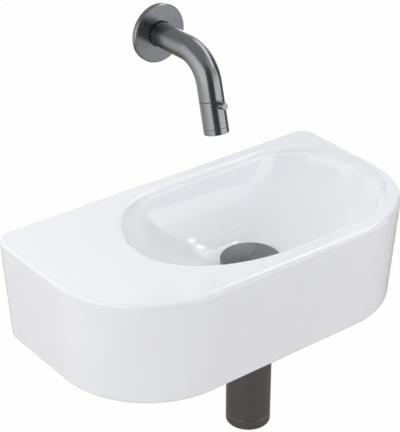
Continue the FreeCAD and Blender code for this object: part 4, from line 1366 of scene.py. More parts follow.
@dataclass
class PushWaste(SubAssembly):
    """The waste in the bowl: flange with threaded tail and cross bar, backnut, spring and pressed cap."""

    floor: float = CeramicBasin.rim - CeramicBasin.bowl_depth
    flange: float = 31.5
    flange_thick: float = 3.0
    tail: float = 20.95
    tail_core: float = 20.1
    bore: float = 17.95
    tail_low: float = -49.0
    pitch: float = 2.309
    thread_top: float = 0.5
    plain: float = 1.0
    run_out: float = 0.6
    dish: float = 6.0
    dish_deep: float = 5.0
    hub_low: float = -24.0
    hub: float = 7.5
    hub_bore: float = 4.0
    hub_height: float = 8.0
    bar: float = 6.0
    bar_edge: float = 0.6
    bar_past_bore: float = 1.0
    bar_rooted: float = 2.0
    cap: float = 31.5
    cap_low: float = 20.0
    cap_side: float = 7.0
    cap_crown: float = 2.6
    cap_shell: float = 3.0
    cap_edge: float = 0.9
    crown_cuts: int = 20
    boss: float = 6.0
    boss_relief: float = 0.3
    boss_bore: float = 3.1
    boss_low: float = 13.6
    seal_seat: float = 28.0
    seal_groove: float = 1.3
    groove_lip: float = 0.4
    groove_wall: float = 2.0
    nut_flats: float = 54.0
    nut_low: float = -12.0
    nut_height: float = 9.0
    spring: float = 4.5
    spring_wire: float = 0.45
    spring_low: float = -13.95
    spring_high: float = -1.05
    spring_turns: int = 5
    spring_sides: int = 12
    spring_steps: int = 32
    press: float = 6.3

    def build(self) -> None:
        """Turns the waste, its backnut and its cap, and winds its spring."""
        self.build_body()
        self.build_cap()
        self.wind_spring()
        nut = bmesh.new()
        press_nut(nut, self.nut_flats, self.tail + FIT, self.nut_low, self.nut_height)
        self.place(nut, "waste_nut", Slot.BRASS, matrix=DRAIN.matrix())

    def build_body(self) -> None:
        """Turns the flange and tail, and sets the cross bar with its hub."""
        mesh = bmesh.new()
        under = self.floor - self.flange_thick
        turn(
            mesh,
            [
                Corner(self.bore, self.tail_low, edge=0.3),
                Corner(self.tail_core, self.tail_low, edge=0.5),
                Corner(self.tail_core, self.plain, edge=0.3),
                Corner(self.tail, self.plain),
                Corner(self.tail, under),
                Corner(self.flange, under, edge=0.3),
                Corner(self.flange, self.floor, edge=1.0),
                Corner(self.bore + self.dish, self.floor, edge=1.2),
                Corner(self.bore, self.floor - self.dish_deep, edge=1.0),
            ],
            steps=128,
        )
        start = self.tail_low + self.run_out
        cut_thread(mesh, self.tail_core, self.tail, self.pitch, start, self.thread_top)
        turn(
            mesh,
            [
                Corner(self.hub_bore, self.hub_low, edge=0.2),
                Corner(self.hub, self.hub_low, edge=0.4),
                Corner(self.hub, self.hub_low + self.hub_height, edge=0.4),
                Corner(self.hub_bore, self.hub_low + self.hub_height, edge=0.2),
            ],
            steps=48,
        )
        near = self.hub_bore + self.bar_past_bore
        far = self.bore + self.bar_rooted
        size = Matrix.Diagonal((far - near, self.bar, self.bar, 1.0 / MM)) * MM
        for side in (-1.0, 1.0):
            spot = Vector((side * (near + far) / 2, 0.0, self.hub_low + self.bar / 2)) * MM
            bar = bmesh.ops.create_cube(mesh, size=1.0, matrix=Matrix.Translation(spot) @ size)["verts"]
            break_edges(mesh, list({edge for vert in bar for edge in vert.link_edges}), self.bar_edge)
        close_up(mesh)
        wrap_turned(mesh)
        self.place(mesh, "waste_body", Slot.GUNMETAL, matrix=DRAIN.matrix())

    def build_cap(self) -> None:
        """Turns the cap with its low crown, seal groove and boss."""
        mesh = bmesh.new()
        under = self.cap_low + self.cap_side - self.cap_shell
        edge_z = self.cap_low + self.cap_side
        inner = self.seal_seat - self.seal_groove
        outer = self.seal_seat + self.seal_groove
        roof = self.cap_low + 2.0 * self.seal_groove - self.groove_lip
        skirt = inner - self.groove_wall
        corners = [
            Corner(0.0, under + self.boss_relief),
            Corner(self.boss_bore, under + self.boss_relief),
            Corner(self.boss_bore, self.boss_low),
            Corner(self.boss, self.boss_low, edge=0.4),
            Corner(self.boss, under, edge=0.6),
            Corner(skirt, under, edge=0.6),
            Corner(skirt, self.cap_low, edge=0.3),
            Corner(inner, self.cap_low),
            Corner(inner, roof),
            Corner(outer, roof),
            Corner(outer, self.cap_low),
            Corner(self.cap, self.cap_low, edge=0.8),
            Corner(self.cap, edge_z, edge=self.cap_edge),
            Corner(0.0, edge_z),
        ]
        edges = wire(mesh, [(c.radius, 0.0, c.height) for c in corners], [c.edge for c in corners])
        top = [
            edge for edge in edges if all(abs(vert.co.z - edge_z * MM) < SAME_PLACE for vert in edge.verts)
        ]
        bmesh.ops.subdivide_edges(mesh, edges=top, cuts=self.crown_cuts)
        ball = (self.cap**2 + self.cap_crown**2) / (2.0 * self.cap_crown)
        for vert in mesh.verts:
            if vert.co.z > (edge_z - self.cap_edge) * MM:
                share = max(ball**2 - (vert.co.x / MM) ** 2, 0.0)
                vert.co.z += (math.sqrt(share) - ball + self.cap_crown) * MM
        spin_all_round(mesh, mesh.edges[:], 128)
        wrap_turned(mesh)
        self.place(mesh, "waste_cap", Slot.GUNMETAL, Body.CLOSER, DRAIN.matrix())

    def wind_spring(self) -> None:
        """Winds the spring under the plunger at one length; the real spring shortens towards its foot as the
        cap goes down.
        """
        mesh = bmesh.new()
        start = Vector((self.spring - self.spring_wire, 0.0, self.spring_low + self.spring_wire)) * MM
        bmesh.ops.create_circle(
            mesh,
            cap_ends=True,
            radius=self.spring_wire * MM,
            segments=self.spring_sides,
            matrix=Matrix.Translation(start) @ Matrix.Rotation(math.radians(90.0), 4, "X"),
        )
        length = self.spring_high - self.spring_low
        steps = self.spring_steps * self.spring_turns
        bmesh.ops.spin(
            mesh,
            geom=mesh.verts[:] + mesh.edges[:] + mesh.faces[:],
            cent=(0.0, 0.0, 0.0),
            axis=(0.0, 0.0, 1.0),
            dvec=(0.0, 0.0, (length - 2.0 * self.spring_wire) * MM / steps),
            angle=2.0 * math.pi * self.spring_turns,
            steps=steps,
        )
        bmesh.ops.recalc_face_normals(mesh, faces=mesh.faces)
        coil = self.place(mesh, "click_spring", Slot.SPRING, matrix=DRAIN.matrix())
        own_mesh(coil.thing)


@dataclass
class BottleTrap(SubAssembly):
    """The bottle trap: inlet nut and tube, cup, head nut, clean-out cap and the pipe to the wall."""

    tail_low: float = PushWaste.tail_low
    pipe: float = 16.0
    pipe_bore: float = 14.5
    hole: float = 16.3
    cup: float = 24.0
    cup_bore: float = 22.0
    cup_top: float = -76.0
    cup_low: float = -162.0
    cup_roof: float = 3.0
    neck: float = 20.7
    neck_height: float = 8.8
    head_height: float = 15.0
    seal: float = 3.0
    collar: float = 20.65
    collar_thick: float = 3.0
    inlet_nut: float = 24.25
    inlet_thread: float = 21.05
    inlet_height: float = 20.0
    nut_floor: float = 3.2
    dip: float = 22.0
    cap_low: float = -174.0
    seam: float = 0.3
    coin: float = 9.0
    coin_deep: float = 2.0
    cap_floor: float = 5.0
    spigot: float = 9.0
    spigot_wall: float = 4.0
    groove_low: float = 2.0
    groove: float = 2.44
    socket: float = 18.6
    socket_start: float = 14.0
    socket_end: float = 42.0
    socket_stop: float = 26.0
    outlet_nut: float = 21.9
    outlet_height: float = 16.0
    wall: float = -DRAIN.origin[1]
    in_wall: float = 45.0
    mark: float = 2.0
    mark_deep: float = 0.4
    rosette: float = 35.0
    rosette_thick: float = 9.0
    rosette_rim: float = 2.0
    rosette_shell: float = 2.5
    rosette_face: float = 6.0
    rosette_inside: float = 5.0

    def build(self) -> None:
        """Turns the trap's pieces from the top down and then out to the wall."""
        self.build_inlet()
        self.build_cup()
        self.build_outlet()

    def build_inlet(self) -> None:
        """Turns the nut on the waste's tail and the tube that dips into the cup."""
        seal = self.tail_low - self.seal
        collar = seal - self.collar_thick
        low = collar - self.nut_floor
        top = low + self.inlet_height
        end = self.cup_low + self.dip
        self.turned(
            "trap_inlet_nut",
            [
                Corner(self.hole, low, edge=0.3),
                Corner(self.inlet_nut, low, edge=1.2),
                Corner(self.inlet_nut, top, edge=1.2),
                Corner(self.inlet_thread, top, edge=0.3),
                Corner(self.inlet_thread, collar),
                Corner(self.hole, collar),
            ],
            DRAIN,
            steps=128,
        )
        self.turned(
            "trap_inlet_tube",
            [
                Corner(self.pipe_bore, end),
                Corner(self.pipe, end, edge=0.3),
                Corner(self.pipe, collar),
                Corner(self.collar, collar, edge=0.2),
                Corner(self.collar, seal, edge=0.2),
                Corner(self.pipe_bore, seal),
            ],
            DRAIN,
        )

    def build_cup(self) -> None:
        """Turns the cup with its side socket, the head nut and the clean-out cap."""
        neck_top = self.cup_top + self.neck_height
        roof = self.cup_top - self.cup_roof
        mesh = bmesh.new()
        turn(
            mesh,
            [
                Corner(self.cup_bore, self.cup_low, edge=0.2),
                Corner(self.cup, self.cup_low, edge=0.45),
                Corner(self.cup, self.cup_top, edge=0.45),
                Corner(self.neck, self.cup_top, edge=0.2),
                Corner(self.neck, neck_top, edge=0.3),
                Corner(self.hole, neck_top, edge=0.2),
                Corner(self.hole, roof),
                Corner(self.cup_bore, roof),
            ],
            steps=144,
        )
        wrap_turned(mesh)
        bmesh.ops.transform(mesh, matrix=DRAIN.matrix(), verts=mesh.verts)
        branch = bmesh.new()
        turn(
            branch,
            [
                Corner(self.pipe_bore, self.socket_start),
                Corner(self.socket, self.socket_start),
                Corner(self.socket, self.socket_end, edge=0.4),
                Corner(self.pipe + FIT, self.socket_end, edge=0.2),
                Corner(self.pipe + FIT, self.socket_stop),
                Corner(self.pipe_bore, self.socket_stop),
            ],
        )
        wrap_turned(branch)
        bmesh.ops.transform(branch, matrix=OUTLET.matrix(), verts=branch.verts)
        join(mesh, branch)
        self.place(mesh, "trap_body", Slot.GUNMETAL)
        low = self.cup_top + self.seam
        top = self.cup_top + self.head_height
        ceiling = neck_top + self.seal
        self.turned(
            "trap_head_nut",
            [
                Corner(self.neck + FIT, low),
                Corner(self.cup, low, edge=0.45),
                Corner(self.cup, top, edge=1.1),
                Corner(self.hole, top, edge=0.3),
                Corner(self.hole, ceiling),
                Corner(self.neck + FIT, ceiling),
            ],
            DRAIN,
            steps=144,
        )
        top = self.cup_low - self.seam
        spigot = self.cup_low + self.spigot
        groove = self.cup_low + self.groove_low
        side = self.cup_bore - FIT
        floor = self.cap_low + self.cap_floor
        self.turned(
            "cleanout_cap",
            [
                Corner(0.0, self.cap_low + self.coin_deep),
                Corner(self.coin, self.cap_low + self.coin_deep, edge=0.5),
                Corner(self.coin, self.cap_low, edge=0.5),
                Corner(self.cup, self.cap_low, edge=2.0),
                Corner(self.cup, top, edge=0.45),
                Corner(side, top),
                Corner(side, groove),
                Corner(self.cup_bore - self.groove, groove),
                Corner(self.cup_bore - self.groove, groove + self.groove),
                Corner(side, groove + self.groove),
                Corner(side, spigot, edge=0.3),
                Corner(self.cup_bore - self.spigot_wall, spigot, edge=0.3),
                Corner(self.cup_bore - self.spigot_wall, floor),
                Corner(0.0, floor),
            ],
            DRAIN,
            steps=144,
        )

    def build_outlet(self) -> None:
        """Turns the socket nut, the pipe and the rosette on the wall."""
        seal = self.socket_end + self.seal
        end = seal + self.nut_floor
        start = end - self.outlet_height
        self.turned(
            "outlet_nut",
            [
                Corner(self.socket + FIT, start),
                Corner(self.outlet_nut, start, edge=0.9),
                Corner(self.outlet_nut, end, edge=0.9),
                Corner(self.hole, end, edge=0.3),
                Corner(self.hole, seal),
                Corner(self.socket + FIT, seal),
            ],
            OUTLET,
            steps=112,
        )
        start = self.socket_stop + FIT
        end = self.wall + self.in_wall
        self.turned(
            "outlet_pipe",
            [
                Corner(self.pipe_bore, start),
                Corner(self.pipe, start, edge=0.2),
                Corner(self.pipe, self.wall - self.mark),
                Corner(self.pipe - self.mark_deep, self.wall - self.mark),
                Corner(self.pipe - self.mark_deep, self.wall),
                Corner(self.pipe, self.wall),
                Corner(self.pipe, end, edge=0.4),
                Corner(self.pipe_bore, end, edge=0.3),
            ],
            OUTLET,
        )
        face = self.wall - self.rosette_thick
        inside = face + self.rosette_shell
        hole = self.hole - FIT
        rim = self.rosette - self.rosette_rim
        self.turned(
            "outlet_rosette",
            [
                Corner(hole, face, edge=0.3),
                Corner(self.pipe + self.rosette_face, face, edge=1.6),
                Corner(self.rosette, self.wall - self.rosette_rim, edge=0.8),
                Corner(self.rosette, self.wall),
                Corner(rim, self.wall),
                Corner(rim, self.wall - self.rosette_rim / 2),
                Corner(self.pipe + self.rosette_inside, inside),
                Corner(hole, inside),
            ],
            OUTLET,
            steps=144,
        )


@dataclass
class WallTap(SubAssembly):
    """The tap: rosette on the wall, threaded nipple and a tube bent towards the bowl."""

    tube: float = 12.5
    tube_bore: float = 10.5
    start: float = 1.2
    reach: float = 49.0
    bend: float = 35.0
    angle: float = 76.0
    drop: float = 15.5
    rosette: float = 30.0
    rosette_thick: float = 5.0
    rosette_plate: float = 2.2
    rosette_bevel: float = 1.1
    rosette_rim: float = 2.0
    rosette_hole: float = 13.3
    hub: float = 16.8
    hub_back: float = 0.4
    groove_back: float = 0.8
    groove_front: float = 2.8
    groove: float = 1.08
    nipple: float = 10.475
    nipple_core: float = 9.4
    nipple_bore: float = 6.0
    nipple_pitch: float = 1.814
    nipple_in: float = 17.0
    nipple_out: float = 28.0
    flange: float = 12.0
    flange_back: float = -2.0
    flange_front: float = 1.0
    thread_gap: float = 0.2
    thread_start: float = 0.3
    ring_grooves: tuple[float, ...] = (16.0, 23.0)
    ring_half: float = 1.05
    ring_deep: float = 1.44
    lip: float = 0.3
    lip_angle: float = 60.0
    around: int = 80
    bend_steps: int = 48

    def end(self) -> Datum:
        """Finds the axis of the spout's end, past the bend and the drop.

        Returns:
            The axis, pointing out of the end.
        """
        lean = math.radians(self.angle)
        out = self.reach + self.bend * math.sin(lean) + self.drop * math.cos(lean)
        down = self.bend * (1.0 - math.cos(lean)) + self.drop * math.sin(lean)
        return Datum((0.0, -out, TAP.origin[2] - down), TAP.lean + self.angle)

    def build(self) -> None:
        """Turns the rosette and the nipple, and bends the tube."""
        back = self.rosette_thick - self.rosette_plate
        front = self.rosette_thick
        groove = self.rosette_hole + self.groove
        self.turned(
            "tap_rosette",
            [
                Corner(self.rosette_hole, self.hub_back),
                Corner(self.hub, self.hub_back),
                Corner(self.hub, back),
                Corner(self.rosette - self.rosette_rim, back),
                Corner(self.rosette - self.rosette_rim, 0.0),
                Corner(self.rosette, 0.0, edge=0.15),
                Corner(self.rosette, front - self.rosette_bevel, edge=0.3),
                Corner(self.rosette - self.rosette_bevel, front, edge=0.3),
                Corner(self.rosette_hole, front, edge=0.2),
                Corner(self.rosette_hole, self.groove_front),
                Corner(groove, self.groove_front),
                Corner(groove, self.groove_back),
                Corner(self.rosette_hole, self.groove_back),
            ],
            TAP,
            steps=160,
        )
        self.build_nipple()
        self.build_tube()

    def build_nipple(self) -> None:
        """Turns the brass nipple that the tube is pushed on, with its wall thread and two ring grooves."""
        mesh = bmesh.new()
        spigot = self.tube_bore - FIT
        floor = spigot - self.ring_deep
        corners = [
            Corner(self.nipple_bore, -self.nipple_in),
            Corner(self.nipple_core, -self.nipple_in, edge=0.5),
            Corner(self.nipple_core, self.flange_back),
            Corner(self.flange, self.flange_back, edge=0.2),
            Corner(self.flange, self.flange_front, edge=0.2),
            Corner(spigot, self.flange_front),
        ]
        for middle in self.ring_grooves:
            near = middle - self.ring_half
            far = middle + self.ring_half
            corners += [Corner(spigot, near), Corner(floor, near), Corner(floor, far), Corner(spigot, far)]
        corners += [Corner(spigot, self.nipple_out, edge=0.4), Corner(self.nipple_bore, self.nipple_out)]
        turn(mesh, corners, steps=64)
        low = self.thread_start - self.nipple_in
        high = self.flange_back - self.thread_gap
        cut_thread(mesh, self.nipple_core, self.nipple, self.nipple_pitch, low, high)
        close_up(mesh)
        self.place(mesh, "wall_nipple", Slot.BRASS, matrix=TAP.matrix())

    def build_tube(self) -> None:
        """Draws the tube out of the wall, bends it and draws its short straight end."""
        mesh = bmesh.new()
        lift = TAP.matrix() @ Matrix.Translation((0.0, 0.0, self.start * MM))
        rims = []
        for radius in (self.tube, self.tube_bore):
            made = bmesh.ops.create_circle(mesh, segments=self.around, radius=radius * MM, matrix=lift)
            rims.append(list({edge for vert in made["verts"] for edge in vert.link_edges}))
        ends = [self.draw_tube(mesh, rim) for rim in rims]
        bmesh.ops.bridge_loops(mesh, edges=rims[0] + rims[1])
        bmesh.ops.bridge_loops(mesh, edges=ends[0] + ends[1])
        bmesh.ops.recalc_face_normals(mesh, faces=mesh.faces)
        sharp = math.radians(self.lip_angle)
        break_edges(mesh, [edge for edge in mesh.edges if edge.calc_face_angle(0.0) > sharp], self.lip)
        self.wrap_tube(mesh)
        self.place(mesh, "spout_tube", Slot.GUNMETAL)

    def draw_tube(self, mesh: BMesh, rim: Sequence[BMEdge]) -> list[BMEdge]:
        """Draws a circle along the spout's line.

        Args:
            mesh: The mesh that holds the circle.
            rim: The circle's edges, at the wall.

        Returns:
            The edges of the circle at the seam.
        """
        out = (self.reach - self.start) * MM
        edges = self.extrude(mesh, rim, Vector((0.0, -out, 0.0)))
        verts = list({vert for edge in edges for vert in edge.verts})
        result = bmesh.ops.spin(
            mesh,
            geom=verts + edges,
            axis=(1.0, 0.0, 0.0),
            cent=(0.0, -self.reach * MM, (TAP.origin[2] - self.bend) * MM),
            angle=math.radians(self.angle),
            steps=self.bend_steps,
        )
        edges = [item for item in result["geom_last"] if isinstance(item, BMEdge)]
        lean = math.radians(self.angle)
        return self.extrude(mesh, edges, Vector((0.0, -math.cos(lean), -math.sin(lean))) * self.drop * MM)

    def extrude(self, mesh: BMesh, edges: Sequence[BMEdge], way: Vector) -> list[BMEdge]:
        """Draws edges out along a straight line.

        Args:
            mesh: The mesh that holds them.
            edges: The edges.
            way: How far and where to.

        Returns:
            The new edges at the far end.
        """
        made = bmesh.ops.extrude_edge_only(mesh, edges=list(edges))["geom"]
        bmesh.ops.translate(mesh, verts=[item for item in made if isinstance(item, BMVert)], vec=way)
        return [item for item in made if isinstance(item, BMEdge)]

    def wrap_tube(self, mesh: BMesh) -> None:
        """Writes the UV map of the tube in millimetres: round its section and along its line.

        Args:
            mesh: The tube, in place.
        """
        layer = mesh.loops.layers.uv.new(TURN_UV)
        for face in mesh.faces:
            base = self.unbend(face.calc_center_median())[1]
            for loop in face.loops:
                along, angle = self.unbend(loop.vert.co)
                swing = (angle - base + math.pi) % (2.0 * math.pi) - math.pi
                loop[layer].uv = ((base + swing) * self.tube, along)

    def unbend(self, spot: Vector) -> tuple[float, float]:
        """Finds a point's place along the spout's line and round its section.

        Args:
            spot: The point, in metres.

        Returns:
            The length along the line in millimetres and the angle round it.
        """
        x, y, z = spot / MM
        y += self.reach
        z -= TAP.origin[2] - self.bend
        if y >= 0.0:
            return self.reach - y, math.atan2(x, z - self.bend)
        angle = min(math.atan2(-y, z), math.radians(self.angle))
        past = -y * math.cos(angle) - z * math.sin(angle)
        out = -y * math.sin(angle) + z * math.cos(angle) - self.bend
        return self.reach + self.bend * angle + max(past, 0.0), math.atan2(x, out)


@dataclass
class TurningEnd(SubAssembly):
    """The spout's turning end: sleeve with a lever pin, and the aerator ring screwed into it."""

    datum: Datum = field(default_factory=lambda: WallTap().end())
    outer: float = WallTap.tube
    hold: float = 10.4
    seam: float = 0.3
    end: float = 27.0
    rib: float = 13.1
    rib_end: float = 14.6
    rib_bore: float = 8.8
    pin_at: float = 4.8
    pin: float = 3.5
    pin_thread: float = 2.0
    pin_low: float = 3.8
    pin_seat: float = 10.5
    pin_tip: float = 20.0
    ring_top: float = 18.0
    ring_end: float = 33.0
    ring_bore: float = 8.2
    ring_seam: float = 0.15
    ring_lip: float = 0.8
    ring_lip_thick: float = 1.2

    def build(self) -> None:
        """Turns the sleeve, its pin and the aerator ring."""
        self.turned(
            "handle_sleeve",
            [
                Corner(self.hold, self.seam),
                Corner(self.outer, self.seam, edge=0.35),
                Corner(self.outer, self.end, edge=0.2),
                Corner(self.hold, self.end),
                Corner(self.hold, self.rib_end),
                Corner(self.rib_bore, self.rib_end),
                Corner(self.rib_bore, self.rib),
                Corner(self.hold, self.rib),
            ],
            self.datum,
            body=Body.HANDLE,
        )
        pin = bmesh.new()
        turn(
            pin,
            [
                Corner(0.0, self.pin_low),
                Corner(self.pin_thread, self.pin_low, edge=0.2),
                Corner(self.pin_thread, self.pin_seat),
                Corner(self.pin, self.pin_seat),
                Corner(self.pin, self.pin_tip, edge=0.5),
                Corner(0.0, self.pin_tip),
            ],
            steps=64,
        )
        wrap_turned(pin)
        lift = Matrix.Translation((0.0, 0.0, self.pin_at * MM)) @ Matrix.Rotation(-math.pi / 2, 4, "X")
        self.place(pin, "lever_pin", Slot.GUNMETAL, Body.HANDLE, self.datum.matrix() @ lift)
        thread = self.hold - FIT
        collar = self.end + self.ring_seam
        mouth = self.ring_bore - self.ring_lip
        ledge = self.ring_end - self.ring_lip_thick
        self.turned(
            "aerator_ring",
            [
                Corner(self.ring_bore, self.ring_top),
                Corner(thread, self.ring_top),
                Corner(thread, collar),
                Corner(self.outer, collar, edge=0.2),
                Corner(self.outer, self.ring_end, edge=0.6),
                Corner(mouth, self.ring_end, edge=0.4),
                Corner(mouth, ledge),
                Corner(self.ring_bore, ledge),
            ],
            self.datum,
            body=Body.HANDLE,
        )


@dataclass
class InnerParts(SubAssembly):
    """The CAD nodes whose own shape is right: seals, sleeves, valve and click parts."""

    slots: dict[Slot, tuple[str, ...]] = field(
        default_factory=lambda: {
            Slot.WHITE_PLASTIC: ("stud_sleeves", "waste_washer"),
            Slot.GREY_PLASTIC: ("aerator_insert",),
            Slot.RUBBER: (
                "waste_gasket",
                "waste_seal",
                "cap_seal",
                "trap_inlet_seal",
                "trap_head_seal",
                "cleanout_seal",
                "outlet_seal",
                "nipple_seals",
                "rosette_seal",
                "carrier_seal",
                "disc_seal",
                "spindle_seal",
                "aerator_seal",
            ),
            Slot.BRASS: ("click_housing", "click_plunger", "valve_carrier", "valve_spindle"),
            Slot.SPRING: ("set_screw", "spindle_clip"),
            Slot.ALUMINA: ("fixed_disc", "turning_disc"),
        }
    )

    def build(self) -> None:
        """Leaves the shapes as they are."""
        log.info("%d inner parts keep their own shape", sum(len(nodes) for nodes in self.slots.values()))

    def dress(self, rack: FinishRack) -> None:
        """Gives each node its finish.

        Args:
            rack: The finishes.
        """
        for slot, nodes in self.slots.items():
            for node in nodes:
                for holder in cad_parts[node].material_slots:
                    holder.material = rack.by_slot[slot]
                log.info("%s in %s", node, slot.value)


class Shade(Enum):
    """How bright a reflected card is, in linear light, against 1 for the white surround."""

    BLACK = 0.12
    DARK = 0.58
    GREY = 1.08
    PALE = 1.68
    WHITE = 2.20
    BRIGHT = 3.10
    LAMP = 9.00


@dataclass(frozen=True)
class Card:
    """A studio card that only reflections see: a strip of a cylinder round the basin.

    Angles are in degrees from the front towards the left, heights and the distance in metres. Between
    the two heights of the bend a card goes over to its upper shade.
    """

    name: str
    first: float
    last: float
    low: float
    high: float
    away: float
    shade: Shade
    upper: Shade | None = None
    bend: tuple[float, float] = (0.0, 1.0)


@dataclass(frozen=True)
class Plate:
    """A level round card over or under the basin that only reflections see, sizes in metres."""

    name: str
    height: float
    radius: float
    colour: str


@dataclass(frozen=True)
class SoftBox:
    """A square lamp: its place and its side in metres, and its power in watts."""

    name: str
    spot: tuple[float, float, float]
    side: float
    power: float


@dataclass
class Studio:
    """Camera, soft light, pale floor and the cards that metal and glaze mirror.

    The lens and the sensor are in millimetres, places in metres and angles in degrees.
    """

    lens: float = 122.67
    sensor: float = 36.0
    camera_spot: tuple[float, float, float] = (-0.7986, -1.0925, 0.7904)
    camera_tilt: float = 61.03
    camera_turn: float = -37.95
    ambient: float = 0.37
    floor: float = -0.762
    floor_half: float = 12.0
    floor_colour: str = "#f4f4f2"
    floor_glow: float = 0.975
    # The upright axis that the cards stand round, and the point that the lamps face.
    middle: tuple[float, float, float] = (0.0, -0.1, 0.0)
    aim: tuple[float, float, float] = (0.0, -0.1, 0.05)
    card_steps: int = 24
    plate_steps: int = 64
    cards: tuple[Card, ...] = (
        Card("front_card", -5.0, 51.0, -0.45, 1.75, 1.60, Shade.BLACK),
        Card("front_right_card", -68.0, -5.0, -0.22, 2.60, 1.62, Shade.WHITE, Shade.GREY, (0.35, 0.90)),
        Card("right_card", -104.0, -68.0, -0.70, 1.25, 1.60, Shade.BLACK),
        Card("right_flank_card", -121.0, -104.0, -0.25, 1.10, 1.62, Shade.GREY),
        Card("right_back_card", -150.0, -121.0, -0.60, 0.55, 1.64, Shade.WHITE),
        Card("left_card", 51.0, 108.0, -0.22, 1.30, 1.64, Shade.WHITE),
        Card("left_flank_card", 108.0, 138.0, -0.20, 1.20, 1.66, Shade.PALE),
        Card("back_card", 138.0, 228.0, 0.45, 2.60, 1.70, Shade.DARK),
        Card("low_left_card", 85.0, 150.0, -0.70, -0.20, 1.68, Shade.GREY),
        Card("high_left_card", -5.0, 138.0, 1.36, 2.70, 1.66, Shade.DARK),
        Card("high_right_card", -132.0, -68.0, 1.40, 2.60, 1.64, Shade.BRIGHT),
        Card("low_bulb_card", -61.0, -47.2, 1.14, 1.25, 1.58, Shade.LAMP),
        Card("middle_bulb_card", -67.0, -55.0, 1.38, 1.62, 1.57, Shade.LAMP),
        Card("high_bulb_card", -68.5, -65.0, 1.86, 2.14, 1.56, Shade.LAMP),
    )
    plates: tuple[Plate, ...] = (
        Plate("ceiling_card", 2.80, 1.70, "#d0d0d0"),
        Plate("ground_card", -0.75, 1.65, "#a09490"),
    )
    # Boxes on all sides, a small near one over the deck and a low one at the left.
    boxes: tuple[SoftBox, ...] = (
        SoftBox("left_box", (-2.09, -0.47, 0.62), 1.6, 14.5),
        SoftBox("front_box", (1.27, -1.73, 0.80), 1.6, 19.0),
        SoftBox("right_box", (1.41, 0.02, 1.74), 1.6, 3.5),
        SoftBox("back_box", (-0.20, 1.55, 1.50), 1.6, 10.0),
        SoftBox("near_box", (-0.52, 0.09, 1.00), 0.8, 3.9),
        SoftBox("low_box", (-1.41, -0.61, -0.50), 0.9, 2.5),
    )

    def build(self) -> None:
        """Sets up everything round the object."""
        self.build_camera()
        self.build_world()
        self.build_floor()
        for card in self.cards:
            self.build_card(card)
        for plate in self.plates:
            self.build_plate(plate)
        for box in self.boxes:
            self.build_lamp(box)
        bpy.context.scene.view_settings.view_transform = "Standard"

    def build_camera(self) -> None:
        """Stands the camera where the photograph was taken from."""
        data = bpy.data.cameras.new("photo_camera")
        data.sensor_fit = "VERTICAL"
        data.sensor_height = self.sensor
        data.lens = self.lens
        camera = bpy.data.objects.new("photo_camera", data)
        camera.location = self.camera_spot
        camera.rotation_euler = (math.radians(self.camera_tilt), 0.0, math.radians(self.camera_turn))
        bpy.context.scene.collection.objects.link(camera)
        bpy.context.scene.camera = camera

    def seen(self, tree: bpy.types.NodeTree) -> bpy.types.NodeSocket:
        """Finds the rays that look at the background.

        Args:
            tree: The node tree that asks.

        Returns:
            A socket of 1 for camera, mirror and transmission rays, and 0 for the rays that light.
        """
        path = add_node(tree, "ShaderNodeLightPath")
        total = path.outputs["Is Camera Ray"]
        for name in ("Is Glossy Ray", "Is Transmission Ray"):
            total = add_node(
                tree, "ShaderNodeMath", {0: total, 1: path.outputs[name]}, operation="ADD", use_clamp=True
            ).outputs[0]
        return total

    def build_world(self) -> None:
        """A white surround for the eye and a softer one for the light."""
        world = bpy.data.worlds.new("studio")
        world.use_nodes = True
        tree = world.node_tree
        tree.nodes.clear()
        soft = add_node(tree, "ShaderNodeBackground", {"Color": WHITE_LIGHT, "Strength": self.ambient})
        full = add_node(tree, "ShaderNodeBackground", {"Color": WHITE_LIGHT, "Strength": 1.0})
        both = add_node(
            tree, "ShaderNodeMixShader", {0: self.seen(tree), 1: soft.outputs[0], 2: full.outputs[0]}
        )
        add_node(tree, "ShaderNodeOutputWorld", {"Surface": both.outputs[0]})
        bpy.context.scene.world = world

    def build_floor(self) -> None:
        """A pale floor that is white to the eye, keeps a faint shadow, and is clear from below."""
        mesh = bmesh.new()
        lift = Matrix.Translation((0.0, 0.0, self.floor))
        bmesh.ops.create_grid(mesh, x_segments=1, y_segments=1, size=self.floor_half, matrix=lift)
        material, tree = new_material("pale_studio_floor")
        matt = add_node(tree, "ShaderNodeBsdfDiffuse", {"Color": linear(self.floor_colour)})
        glow = add_node(tree, "ShaderNodeEmission", {"Color": WHITE_LIGHT, "Strength": 1.0})
        share = add_node(
            tree, "ShaderNodeMath", {0: self.seen(tree), 1: self.floor_glow}, operation="MULTIPLY"
        )
        both = add_node(
            tree, "ShaderNodeMixShader", {0: share.outputs[0], 1: matt.outputs[0], 2: glow.outputs[0]}
        )
        below = add_node(
            tree,
            "ShaderNodeMath",
            {
                0: add_node(tree, "ShaderNodeNewGeometry").outputs["Backfacing"],
                1: add_node(tree, "ShaderNodeLightPath").outputs["Is Camera Ray"],
            },
            operation="MULTIPLY",
        )
        clear = add_node(tree, "ShaderNodeBsdfTransparent")
        surface = add_node(
            tree, "ShaderNodeMixShader", {0: below.outputs[0], 1: both.outputs[0], 2: clear.outputs[0]}
        )
        close_material(tree, surface)
        self.put_stage(mesh, "studio_floor", material)

    def build_card(self, card: Card) -> None:
        """Bends a card round the basin.

        Args:
            card: The card.
        """
        mesh = bmesh.new()
        start = math.radians(card.first)
        away = Vector((-math.sin(start) * card.away, -math.cos(start) * card.away, 0.0))
        foot = Vector(self.middle) + away
        verts = [mesh.verts.new(foot + Vector((0.0, 0.0, height))) for height in (card.low, card.high)]
        edge = mesh.edges.new(verts)
        bmesh.ops.spin(
            mesh,
            geom=verts + [edge],
            axis=(0.0, 0.0, 1.0),
            cent=self.middle,
            angle=-math.radians(card.last - card.first),
            steps=self.card_steps,
        )
        glow = card.shade.value
        over = None if card.upper is None else card.upper.value / glow
        self.hang(mesh, card.name, (glow, glow, glow, 1.0), over, card.bend)

